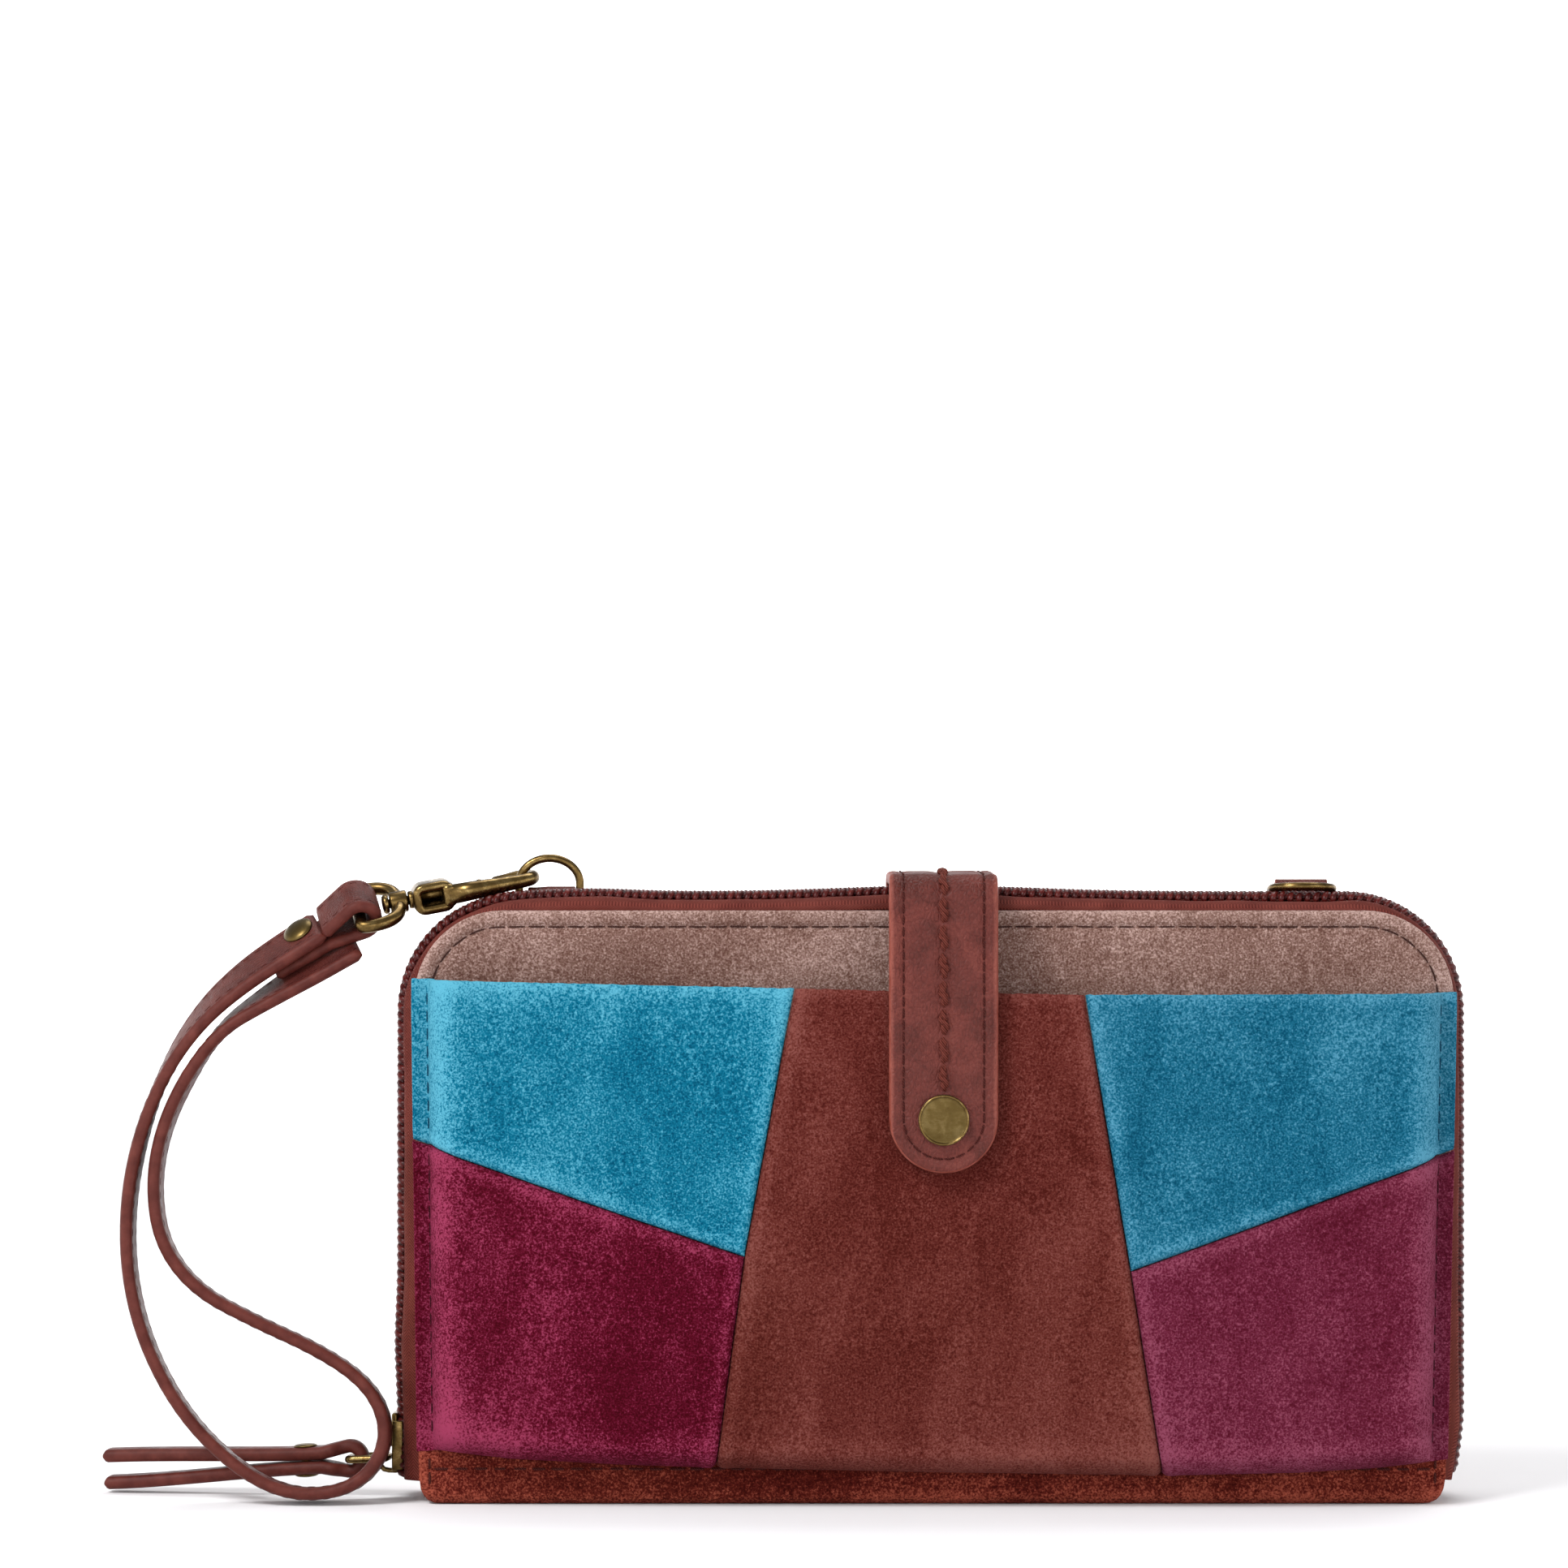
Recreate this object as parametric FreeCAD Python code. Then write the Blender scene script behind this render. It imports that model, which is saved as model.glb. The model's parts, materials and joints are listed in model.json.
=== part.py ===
"""Wristlet wallet: a zip-around phone wallet standing on its spine.

Frame: millimetres, origin on the floor under the middle of the spine, +X to the right of
the front face, +Y to the back, +Z up.  The front cover, with the phone pocket, faces -Y.
"""
import FreeCAD, Part
import math
import os

V = FreeCAD.Vector

# ---- driving dimensions -------------------------------------------------------------------
PANEL_HALF = 99.8           # half width of the covers
PANEL_TOP = 113.5           # top edge of the covers
PANEL_BOTTOM = 2.6          # lower edge of the covers
PANEL_CORNER = 15.0         # top corner radius of the covers
COVER_OUT = 12.0            # outer face of each cover, from the middle plane
LEATHER = 2.0               # suede cover with its stiffener
LINING = 0.8                # lining fabric glued inside a cover
SHEET = 0.6                 # one thickness of card pocket fabric
SPINE_HALF = 98.5           # half length of the spine piece
SPINE_FLANGE = 11.0         # height of the spine piece on each cover
FOLD_GAP = 0.3              # clearance at the folding edge

TAPE_OUT = 100.7            # outer face of the zipper tape at the sides
TAPE_TOP = 114.3            # outer face of the zipper tape at the top
TAPE = 1.4                  # zipper tape thickness
TAPE_CORNER = 18.0          # outer corner radius of the tape
TAPE_BOTTOM = 4.0           # where the tape ends above the spine
PARTING = 0.3               # half the gap between the two rows of coils
COIL = 1.6                  # height of the coil over the tape
COIL_DEEP = 1.75            # depth of one row of coils

POCKET_FRONT = 21.0         # outer face of the phone pocket
POCKET_TOP = 100.0
POCKET_BOTTOM = 8.2
POCKET_SKIN = 1.4
POCKET_WALL = 95.6          # where the pocket's side walls leave the cover
POCKET_FACE = 91.0          # where they meet its front face
HEM = 1.4                   # sewn hem of the pocket on the cover

TAB_MIDDLE = 1.9            # closure tab, X of its middle
TAB_HALF = 10.0
TAB_THICK = 2.4
TAB_UNDER = 118.4           # underside of the tab over the zipper
TAB_TIP = 64.4              # lowest point of the rounded tip
TAB_FACE = 22.2             # inner face of the hanging part, in front of the middle plane
TAB_BEND = 4.6              # outer radius of its bend at the front
TAB_PIN_Y = 13.2            # line that the tab lifts about
TAB_PIN_Z = 118.0
SNAP_Z = 74.2
SNAP_CAP_R = 4.85

RING_WIRE = 0.8             # D-ring wire radius
RING_HALF = 5.9             # D-ring half width, to the middle of the wire
RING_SIDE = 2.6             # straight part of the D-ring's sides
RING_BOW = 4.9              # height of its bow over them
RING_Y = 5.0                # both D-ring bars
LEFT_RING_X = -73.8
RIGHT_RING_X = 72.0
LEFT_BAR_Z = 115.8
RIGHT_BAR_Z = 117.2
RIGHT_RING_LEAN = 84.0      # degrees forward from upright
LOOP_HALF = 4.9             # half width of a D-ring's leather loop
LOOP_SKIN = 1.1

HOOK_YAW = 8.0              # degrees towards the front
HOOK_PITCH = 10.5           # degrees down towards the strap
HOOK_ROLL = 7.0            # the gate lies behind the arm and a little higher
EYE_ROLL = 30.0             # tilt of the swivel's eye about the hook's length
HOOK_BEND = 2.9             # radius of the hook's nose, to the middle of its wire
EYE_FAR = 31.7              # from the hook's nose to the far bar of the eye
EYE_HALF = 6.6
EYE_WIRE = 0.9

STRAP_WIDE = 10.0
STRAP_THICK = 2.3
STRAP_LEAN = 5.8            # degrees, the loop's lower end leans forward
STRAP_FOLD = 2.2            # inner radius of the fold round the eye
STRAP_SLOPE = 33.0          # slope of the strap below the eye, in degrees
SEAM = 8.0                  # from the eye to where the two layers meet
RIVET = 11.8                # from the eye to the rivet

PULL_YAW = 8.6              # degrees towards the back
PULL_DROP = 3.2             # degrees below level
PULL_WIDE = 6.0
PULL_THICK = 2.4
PULL_LONG = 54.0
PULL_FOLD = 7.2             # from the pivot to the middle of the leather's fold
PULL_RIVET = 16.0           # from the pivot to the rivet
SLIDER_Z = 7.7              # line that the pull hangs from
SLIDER_X = -105.0

DIVIDER_HALF = 90.0
DIVIDER_TOP = 96.0

# The wrist loop from its seam, out along the upper strand, round and back to the rivet.
STRAP_ROUTE = [
    (-118.52, 109.95), (-125.35, 105.51), (-133.0, 100.2), (-140.4, 93.4), (-146.8, 84.0),
    (-151.8, 71.5), (-154.5, 57.5), (-154.2, 43.0), (-150.6, 29.5), (-143.4, 16.5),
    (-133.4, 7.0), (-123.6, 1.8), (-114.2, 1.9), (-107.8, 4.9), (-104.4, 10.8),
    (-105.1, 17.4), (-109.4, 23.4), (-118.0, 28.9), (-129.4, 34.0), (-141.0, 40.0),
    (-147.8, 48.8), (-149.6, 60.0), (-147.9, 71.0), (-142.9, 81.8), (-136.6, 90.6),
    (-129.2, 96.2), (-121.55, 101.49), (-115.76, 105.25),
]


# ---- small helpers ------------------------------------------------------------------------
def box(x0, x1, y0, y1, z0, z1):
    return Part.makeBox(x1 - x0, y1 - y0, z1 - z0, V(x0, y0, z0))


def rod(start, end, radius):
    along = end - start
    return Part.makeCylinder(radius, along.Length, start, along)


def fuse(first, *others):
    return first.fuse(list(others)).removeSplitter()


def mirrored(shape, x=0.0):
    return shape.mirror(V(x, 0, 0), V(1, 0, 0))


def turned(shape, pivot, axis, degrees):
    copy = shape.copy()
    copy.rotate(pivot, axis, degrees)
    return copy


def arch_face(half, bottom, top, corner, y):
    """A panel outline in an XZ plane: square below, with rounded top corners."""
    cut = corner * (1 - math.sqrt(0.5))
    left, right, shoulder = V(-half, y, bottom), V(half, y, bottom), top - corner
    edges = [
        Part.makeLine(left, V(-half, y, shoulder)),
        Part.Arc(V(-half, y, shoulder), V(-half + cut, y, top - cut), V(-half + corner, y, top)).toShape(),
        Part.makeLine(V(-half + corner, y, top), V(half - corner, y, top)),
        Part.Arc(V(half - corner, y, top), V(half - cut, y, top - cut), V(half, y, shoulder)).toShape(),
        Part.makeLine(V(half, y, shoulder), right),
        Part.makeLine(right, left),
    ]
    return Part.Face(Part.Wire(edges))


def panel(half, bottom, top, corner, y0, y1):
    return arch_face(half, bottom, top, corner, y0).extrude(V(0, y1 - y0, 0))


def arch_wall(half, bottom, top, corner, thick, y0, y1):
    """A wall along the left, top and right of a panel outline, open at the bottom."""
    outer = panel(half, bottom, top, corner, y0, y1)
    inner = panel(half - thick, bottom - 1, top - thick, corner - thick, y0 - 1, y1 + 1)
    return outer.cut(inner)


def polygon(points, depth):
    """A prism on a closed list of points, pushed along a vector."""
    return Part.Face(Part.makePolygon(points + [points[0]])).extrude(depth)


def profile_yz(points, x0, x1):
    return polygon([V(x0, y, z) for y, z in points], V(x1 - x0, 0, 0))


def rounded_route(points):
    """Straight runs joined by tangent arcs, each as large as its two runs allow."""
    edges, radii, here = [], [], points[0]
    for before, corner, after in zip(points, points[1:], points[2:]):
        back, ahead = (before - corner).normalize(), (after - corner).normalize()
        half_turn = (math.pi - back.getAngle(ahead)) / 2
        reach = 0.45 * min((before - corner).Length, (after - corner).Length)
        radius = reach / math.tan(half_turn)
        start, end = corner + back * reach, corner + ahead * reach
        inward = (back + ahead).normalize()
        middle = corner + inward * (radius / math.cos(half_turn) - radius)
        edges.append(Part.LineSegment(here, start).toShape())
        edges.append(Part.Arc(start, middle, end).toShape())
        radii.append(radius)
        here = end
    edges.append(Part.LineSegment(here, points[-1]).toShape())
    return Part.Wire(edges), radii


def ribbon(path, across, wide, thick):
    """A flat strip swept along a plane path; across is the direction of its width."""
    start = path.Edges[0].Vertexes[0].Point
    along = path.Edges[0].tangentAt(path.Edges[0].FirstParameter)
    up = along.cross(across).normalize() * (thick / 2)
    side = V(across).normalize() * (wide / 2)
    corners = [start + side + up, start + side - up, start - side - up, start - side + up]
    section = Part.makePolygon(corners + [corners[0]])
    sweep = Part.BRepOffsetAPI.MakePipeShell(path)
    sweep.setBiNormalMode(V(across))
    sweep.add(section)
    sweep.build()
    sweep.makeSolid()
    return sweep.shape()


def placed(shape, origin, x_axis, y_axis, z_axis):
    """A shape made about the world's origin, put into a frame of its own."""
    matrix = FreeCAD.Matrix(
        x_axis.x, y_axis.x, z_axis.x, origin.x,
        x_axis.y, y_axis.y, z_axis.y, origin.y,
        x_axis.z, y_axis.z, z_axis.z, origin.z,
        0, 0, 0, 1)
    return shape.transformed(matrix, True)


# ---- covers, spine and lining -------------------------------------------------------------
def cover(side):
    """Suede panel of the front (side -1) or back (side +1) cover."""
    near, far = sorted((side * (COVER_OUT - LEATHER), side * COVER_OUT))
    return panel(PANEL_HALF, PANEL_BOTTOM, PANEL_TOP, PANEL_CORNER, near, far)


def cover_lining(side):
    outer = COVER_OUT - LEATHER
    near, far = sorted((side * (outer - LINING), side * outer))
    return panel(PANEL_HALF - 2.5, PANEL_BOTTOM + 1.5, PANEL_TOP - 2.0, PANEL_CORNER - 2, near, far)


def card_pocket(side, layer, top):
    """One of the stacked card pockets; layer 0 is sewn to the lining."""
    outer = COVER_OUT - LEATHER - LINING - layer * SHEET
    near, far = sorted((side * (outer - SHEET), side * outer))
    return box(-DIVIDER_HALF, DIVIDER_HALF, near, far, PANEL_BOTTOM + 3, top)


def spine():
    """Suede strip under the wallet, turned up on the back cover, with rounded ends."""
    strip = box(-SPINE_HALF, SPINE_HALF, -COVER_OUT + FOLD_GAP, COVER_OUT + 1, 0, 1.6)
    flange = box(-SPINE_HALF, SPINE_HALF, COVER_OUT, COVER_OUT + 1, 0, SPINE_FLANGE)
    return fuse(strip, flange)


def spine_board():
    return box(-SPINE_HALF + 3, SPINE_HALF - 3, -9, 9, 1.6, 2.6)


def spine_front_flange():
    return box(-SPINE_HALF, SPINE_HALF, -COVER_OUT - 1, -COVER_OUT, 1.2, SPINE_FLANGE)


def zip_tape(side):
    near, far = sorted((side * (PARTING + 0.15), side * (COVER_OUT - LEATHER)))
    return arch_wall(TAPE_OUT, TAPE_BOTTOM, TAPE_TOP, TAPE_CORNER, TAPE, near, far)


def zip_coil(side):
    near, far = sorted((side * PARTING, side * (PARTING + COIL_DEEP)))
    return arch_wall(TAPE_OUT + COIL, TAPE_BOTTOM + 1, TAPE_TOP + COIL, TAPE_CORNER + COIL, COIL, near, far)


def gusset():
    """Left fabric wall between the covers, which folds as the wallet closes."""
    reach = COVER_OUT - LEATHER - LINING
    return box(-94.6, -94.1, -reach, reach, 5.0, 70.0)


# ---- phone pocket --------------------------------------------------------------------------
def pocket_skin():
    """Bulged pocket sewn to the front cover at its sides and bottom, open at the top."""
    front, cloth = -POCKET_FRONT, -COVER_OUT
    hem = cloth - HEM
    outer = [(-PANEL_HALF, cloth), (-PANEL_HALF, hem), (-POCKET_WALL, hem), (-POCKET_FACE - 1.2, front + 1.4),
             (-POCKET_FACE + 1.6, front)]
    inner = [(-POCKET_WALL + POCKET_SKIN, cloth), (-POCKET_WALL + POCKET_SKIN, hem),
             (-POCKET_FACE + 0.3, front + 2.6), (-POCKET_FACE + 2.4, front + POCKET_SKIN)]
    outline = outer + [(-x, y) for x, y in reversed(outer)]
    hollow = inner + [(-x, y) for x, y in reversed(inner)]
    tall = V(0, 0, POCKET_TOP - POCKET_BOTTOM)
    shell = polygon([V(x, y, POCKET_BOTTOM) for x, y in outline], tall)
    room = polygon([V(x, y, POCKET_BOTTOM + POCKET_SKIN) for x, y in hollow], tall)
    toe = profile_yz([(front - 1, POCKET_BOTTOM - 1), (front - 1, POCKET_BOTTOM + 3.2),
                      (front + 3.4, POCKET_BOTTOM - 1)], -110, 110)
    lip = box(-SPINE_HALF - 0.1, SPINE_HALF + 0.1, cloth - 1.0, cloth, POCKET_BOTTOM - 1, SPINE_FLANGE + 0.1)
    return shell.cut(room).cut(toe).cut(lip)


def patches():
    """The pocket's five suede patches, cut from one skin along their seams."""
    seam = {"left_top": (-25.9, POCKET_TOP), "left_mid": (-35.8, 48.0), "left_low": (-41.7, POCKET_BOTTOM),
            "right_top": (28.2, POCKET_TOP), "right_mid": (37.4, 45.2), "right_low": (43.9, POCKET_BOTTOM)}
    left_edge, right_edge = 70.0, 68.0
    high, low, wide = POCKET_TOP + 5, POCKET_BOTTOM - 5, PANEL_HALF + 5

    def beyond(inner, outer, level):
        """Where the line from inner to outer reaches a level."""
        share = (level - inner[1]) / (outer[1] - inner[1])
        return (inner[0] + share * (outer[0] - inner[0]), level)

    lt, lm, ll = seam["left_top"], seam["left_mid"], seam["left_low"]
    rt, rm, rl = seam["right_top"], seam["right_mid"], seam["right_low"]
    outlines = {
        "patch_upper_left": [(-wide, high), (-wide, left_edge), (-PANEL_HALF, left_edge), lm,
                             beyond(lm, lt, high)],
        "patch_lower_left": [(-wide, left_edge), (-wide, low), beyond(lm, ll, low), lm,
                             (-PANEL_HALF, left_edge)],
        "patch_centre": [beyond(lm, lt, high), lm, beyond(lm, ll, low), beyond(rm, rl, low), rm,
                         beyond(rm, rt, high)],
        "patch_upper_right": [beyond(rm, rt, high), rm, (PANEL_HALF, right_edge), (wide, right_edge),
                              (wide, high)],
        "patch_lower_right": [rm, beyond(rm, rl, low), (wide, low), (wide, right_edge),
                              (PANEL_HALF, right_edge)],
    }
    skin = pocket_skin()
    depth = V(0, 20, 0)
    return {name: skin.common(polygon([V(x, -POCKET_FRONT - 5, z) for x, z in points], depth))
            for name, points in outlines.items()}


# ---- closure tab ---------------------------------------------------------------------------
def tab_anchor():
    """The tab's sewn end on the back cover, rounded where the tab hinges."""
    x0, x1 = TAB_MIDDLE - TAB_HALF, TAB_MIDDLE + TAB_HALF
    plate = box(x0, x1, COVER_OUT, COVER_OUT + TAB_THICK, 78.0, TAB_PIN_Z)
    return fuse(plate, rod(V(x0, TAB_PIN_Y, TAB_PIN_Z), V(x1, TAB_PIN_Y, TAB_PIN_Z), TAB_THICK / 2))


def tab_flap():
    """The tab over the zipper and down the front, with a rounded tip."""
    x0 = TAB_MIDDLE - TAB_HALF
    rear = TAB_PIN_Y - TAB_THICK / 2 - FOLD_GAP
    top, face = TAB_UNDER + TAB_THICK, -TAB_FACE - TAB_THICK
    small = TAB_BEND - TAB_THICK
    cut, small_cut = TAB_BEND * (1 - math.sqrt(0.5)), small * (1 - math.sqrt(0.5))
    at = lambda y, z: V(x0, y, z)
    edges = [
        Part.makeLine(at(rear, TAB_UNDER), at(rear, top)),
        Part.makeLine(at(rear, top), at(face + TAB_BEND, top)),
        Part.Arc(at(face + TAB_BEND, top), at(face + cut, top - cut), at(face, top - TAB_BEND)).toShape(),
        Part.makeLine(at(face, top - TAB_BEND), at(face, TAB_TIP)),
        Part.makeLine(at(face, TAB_TIP), at(-TAB_FACE, TAB_TIP)),
        Part.makeLine(at(-TAB_FACE, TAB_TIP), at(-TAB_FACE, TAB_UNDER - small)),
        Part.Arc(at(-TAB_FACE, TAB_UNDER - small), at(-TAB_FACE + small_cut, TAB_UNDER - small_cut),
                 at(-TAB_FACE + small, TAB_UNDER)).toShape(),
        Part.makeLine(at(-TAB_FACE + small, TAB_UNDER), at(rear, TAB_UNDER)),
    ]
    strip = Part.Face(Part.Wire(edges)).extrude(V(2 * TAB_HALF, 0, 0))
    tip_middle = V(TAB_MIDDLE, -TAB_FACE + 5, TAB_TIP + TAB_HALF)
    below = box(x0 - 1, x0 + 2 * TAB_HALF + 1, -TAB_FACE - 5, -TAB_FACE + 5, TAB_TIP - 1, TAB_TIP + TAB_HALF)
    waste = below.cut(rod(tip_middle, tip_middle - V(0, 10, 0), TAB_HALF))
    post = rod(V(TAB_MIDDLE, -TAB_FACE + 5, SNAP_Z), V(TAB_MIDDLE, -TAB_FACE - 5, SNAP_Z), 1.5)
    return strip.cut(waste).cut(post)


def snap_cap():
    """Brass cap with a low rim, on a post through the tab."""
    face = -TAB_FACE - TAB_THICK
    cap = rod(V(TAB_MIDDLE, face, SNAP_Z), V(TAB_MIDDLE, face - 1.1, SNAP_Z), SNAP_CAP_R)
    dish = rod(V(TAB_MIDDLE, face - 0.9, SNAP_Z), V(TAB_MIDDLE, face - 2, SNAP_Z), SNAP_CAP_R - 0.6)
    return cap.cut(dish)


def snap_stud():
    """Post through the tab, with the stud that the socket on the pocket takes."""
    face = -TAB_FACE - TAB_THICK
    post = rod(V(TAB_MIDDLE, face, SNAP_Z), V(TAB_MIDDLE, -TAB_FACE, SNAP_Z), 1.5)
    stud = rod(V(TAB_MIDDLE, -TAB_FACE, SNAP_Z), V(TAB_MIDDLE, -TAB_FACE + 0.8, SNAP_Z), 1.4)
    return fuse(post, stud)


def snap_socket():
    ring = rod(V(TAB_MIDDLE, -POCKET_FRONT, SNAP_Z), V(TAB_MIDDLE, -POCKET_FRONT - 0.7, SNAP_Z), 4.6)
    hole = rod(V(TAB_MIDDLE, -POCKET_FRONT + 1, SNAP_Z), V(TAB_MIDDLE, -POCKET_FRONT - 2, SNAP_Z), 3.3)
    return ring.cut(hole)


# ---- D-rings -------------------------------------------------------------------------------
def d_ring(x, bar_z, lean):
    """Wire D standing on its bar, leaned forward about the bar."""
    left, right, shoulder = x - RING_HALF, x + RING_HALF, bar_z + RING_SIDE
    oval = Part.Ellipse(V(0, 0, 0), RING_HALF, RING_BOW)
    bow = Part.ArcOfEllipse(oval, 0, math.pi).toShape()
    bow = placed(bow, V(x, RING_Y, shoulder), V(1, 0, 0), V(0, 0, 1), V(0, -1, 0))
    low_left, low_right = V(left, RING_Y, bar_z), V(right, RING_Y, bar_z)
    high_left, high_right = V(left, RING_Y, shoulder), V(right, RING_Y, shoulder)
    path = Part.Wire([Part.makeLine(low_right, high_right), bow, Part.makeLine(high_left, low_left)])
    circle = Part.Wire(Part.makeCircle(RING_WIRE, low_right, V(0, 0, 1)))
    bend = path.makePipeShell([circle], True, True)
    bar = rod(low_left, low_right, RING_WIRE)
    corners = [Part.makeSphere(RING_WIRE, end) for end in (low_left, low_right)]
    return turned(fuse(bend, bar, *corners), V(x, RING_Y, bar_z), V(1, 0, 0), lean)


def ring_loop(x, bar_z):
    """Leather loop sewn on the back tape, round the D-ring's bar."""
    radius = RING_WIRE + 0.15 + LOOP_SKIN
    round_top = rod(V(x - LOOP_HALF, RING_Y, bar_z), V(x + LOOP_HALF, RING_Y, bar_z), radius)
    foot = box(x - LOOP_HALF, x + LOOP_HALF, RING_Y - radius, RING_Y + radius, TAPE_TOP, bar_z)
    hole = rod(V(x - 9, RING_Y, bar_z), V(x + 9, RING_Y, bar_z), RING_WIRE + 0.15)
    slot = box(x - 9, x + 9, RING_Y - RING_WIRE - 0.15, RING_Y + RING_WIRE + 0.15, TAPE_TOP - 1, bar_z)
    above = box(x - 9, x + 9, RING_Y - 5, RING_Y + 5, TAPE_TOP, bar_z + 9)
    return round_top.fuse(foot).common(above).cut(hole).cut(slot)


# ---- hook and swivel -----------------------------------------------------------------------
def hook_frames():
    """Middle of the hook's nose, its length, and the front and up directions of hook and eye."""
    yaw, pitch = math.radians(HOOK_YAW), math.radians(HOOK_PITCH)
    height, slack = 0.8, 0.3
    drop = RING_HALF * math.sqrt(1 - (height / RING_BOW) ** 2)
    wire = V(LEFT_RING_X - drop, RING_Y, LEFT_BAR_Z + RING_SIDE + height)
    along = V(-math.cos(yaw) * math.cos(pitch), -math.sin(yaw) * math.cos(pitch), -math.sin(pitch))
    rear = V(-math.sin(yaw), math.cos(yaw), 0)
    up = rear.cross(along)
    origin = wire + along * slack

    def rolled(degrees):
        roll = math.radians(degrees)
        back = rear * math.cos(roll) + up * math.sin(roll)
        return back * -1, back.cross(along)

    return origin, along, rolled(HOOK_ROLL), rolled(EYE_ROLL)


def hook_body():
    """Arm, nose and return of the hook, its base with a window, neck and swivel stem."""
    arm = Part.makeCone(1.1, 1.4, 13.2, V(0, HOOK_BEND, 0), V(1, 0, 0))
    nose = Part.makeTorus(HOOK_BEND, 1.1, V(0, 0, 0), V(0, 0, 1))
    nose = nose.common(box(-6, 0, -6, 6, -3, 3))
    back = Part.makeCone(1.1, 0.85, 4.9, V(0, -HOOK_BEND, 0), V(1, 0, 0))
    base = box(12.8, 20.9, -4.2, 4.2, -2.5, 2.5)
    toe = polygon([V(12, -5, -1.2), V(12, -5, -3), V(15.6, -5, -3)], V(0, 10, 0))
    window = box(15.2, 19.0, -5, 5, -1.5, 1.5)
    channel = rod(V(12, -HOOK_BEND, 0), V(20.4, -HOOK_BEND, 0), 0.95)
    stem = rod(V(20.9, 0, 0), V(26.0, 0, 0), 0.9)
    neck = rod(V(20.9, 0, 0), V(21.6, 0, 0), 1.7)
    head = rod(V(25.5, 0, 0), V(26.8, 0, 0), 1.9)
    base = base.cut(toe).cut(window).cut(channel)
    return fuse(arm, nose, back, base, neck, stem, head)


def hook_gate():
    """Sliding gate rod that closes the hook, with its thumb stud."""
    gate = rod(V(5.1, -HOOK_BEND, 0), V(15.4, -HOOK_BEND, 0), 0.8)
    stud = rod(V(7.2, -HOOK_BEND, 0), V(7.2, -HOOK_BEND - 2.2, 0), 0.8)
    return fuse(gate, stud)


def swivel_eye():
    """Barrel turning on the hook's stem, and the eye that the strap is folded round."""
    barrel = rod(V(21.8, 0, 0), V(25.3, 0, 0), 2.1).cut(rod(V(21, 0, 0), V(27, 0, 0), 0.96))
    straight, corner = 5.0, EYE_HALF - 5.0
    cut = corner * (1 - math.sqrt(0.5))
    root = V(23.7, 1.9, 0)
    elbow, turn, end = V(28.6, EYE_HALF, 0), V(EYE_FAR - corner, EYE_HALF, 0), V(EYE_FAR, straight, 0)
    edges = [
        Part.Arc(root, V(25.2, 5.1, 0), elbow).toShape(),
        Part.makeLine(elbow, turn),
        Part.Arc(turn, V(EYE_FAR - cut, EYE_HALF - cut, 0), end).toShape(),
        Part.makeLine(end, V(end.x, -end.y, 0)),
        Part.Arc(V(end.x, -end.y, 0), V(EYE_FAR - cut, cut - EYE_HALF, 0), V(turn.x, -turn.y, 0)).toShape(),
        Part.makeLine(V(turn.x, -turn.y, 0), V(elbow.x, -elbow.y, 0)),
        Part.Arc(V(elbow.x, -elbow.y, 0), V(25.2, -5.1, 0), V(root.x, -root.y, 0)).toShape(),
    ]
    path = Part.Wire(edges)
    start = path.Edges[0].tangentAt(path.Edges[0].FirstParameter)
    circle = Part.Wire(Part.makeCircle(EYE_WIRE, root, start))
    bow = path.makePipeShell([circle], True, True)
    core = rod(V(21, 0, 0), V(28, 0, 0), 0.96)
    return fuse(barrel, bow).cut(core)


# ---- wrist strap ---------------------------------------------------------------------------
def strap_frame():
    """The eye's far bar: its middle, its direction, and the strap's way out and upper side."""
    origin, along, hook, eye = hook_frames()
    middle = origin + along * EYE_FAR
    bar = eye[0] * -1
    slope = math.radians(STRAP_SLOPE)
    away = V(-math.cos(slope), 0, -math.sin(slope))
    away = (away - bar * away.dot(bar)).normalize()
    return middle, bar, away, bar.cross(away) * -1


def rivet_hole(radius, low, high):
    """A cylinder through the strap's layers at the rivet, square to the upper strand."""
    middle = strap_frame()[0]
    slope = math.radians(STRAP_SLOPE)
    away, normal = V(-math.cos(slope), 0, -math.sin(slope)), V(-math.sin(slope), 0, math.cos(slope))
    place = middle + away * RIVET
    shape = rod(place + normal * low, place + normal * high, radius)
    return turned(shape, middle, V(1, 0, 0), -STRAP_LEAN)


def wrist_strap():
    """The wrist loop: one flat strip in an upright plane that leans forward a little."""
    middle = strap_frame()[0]
    path, radii = rounded_route([V(x, middle.y, z) for x, z in STRAP_ROUTE])
    strip = ribbon(path, V(0, 1, 0), STRAP_WIDE, STRAP_THICK)
    print("wrist strap radii, mm:", [round(radius, 1) for radius in radii])
    print("wrist strap length, mm:", round(path.Length, 1))
    print("wrist strap volume over section times length:",
          round(strip.Volume / (path.Length * STRAP_WIDE * STRAP_THICK), 4))
    strip = turned(strip, middle, V(1, 0, 0), -STRAP_LEAN)
    return strip.cut(rivet_hole(1.05, -9, 9))


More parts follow.
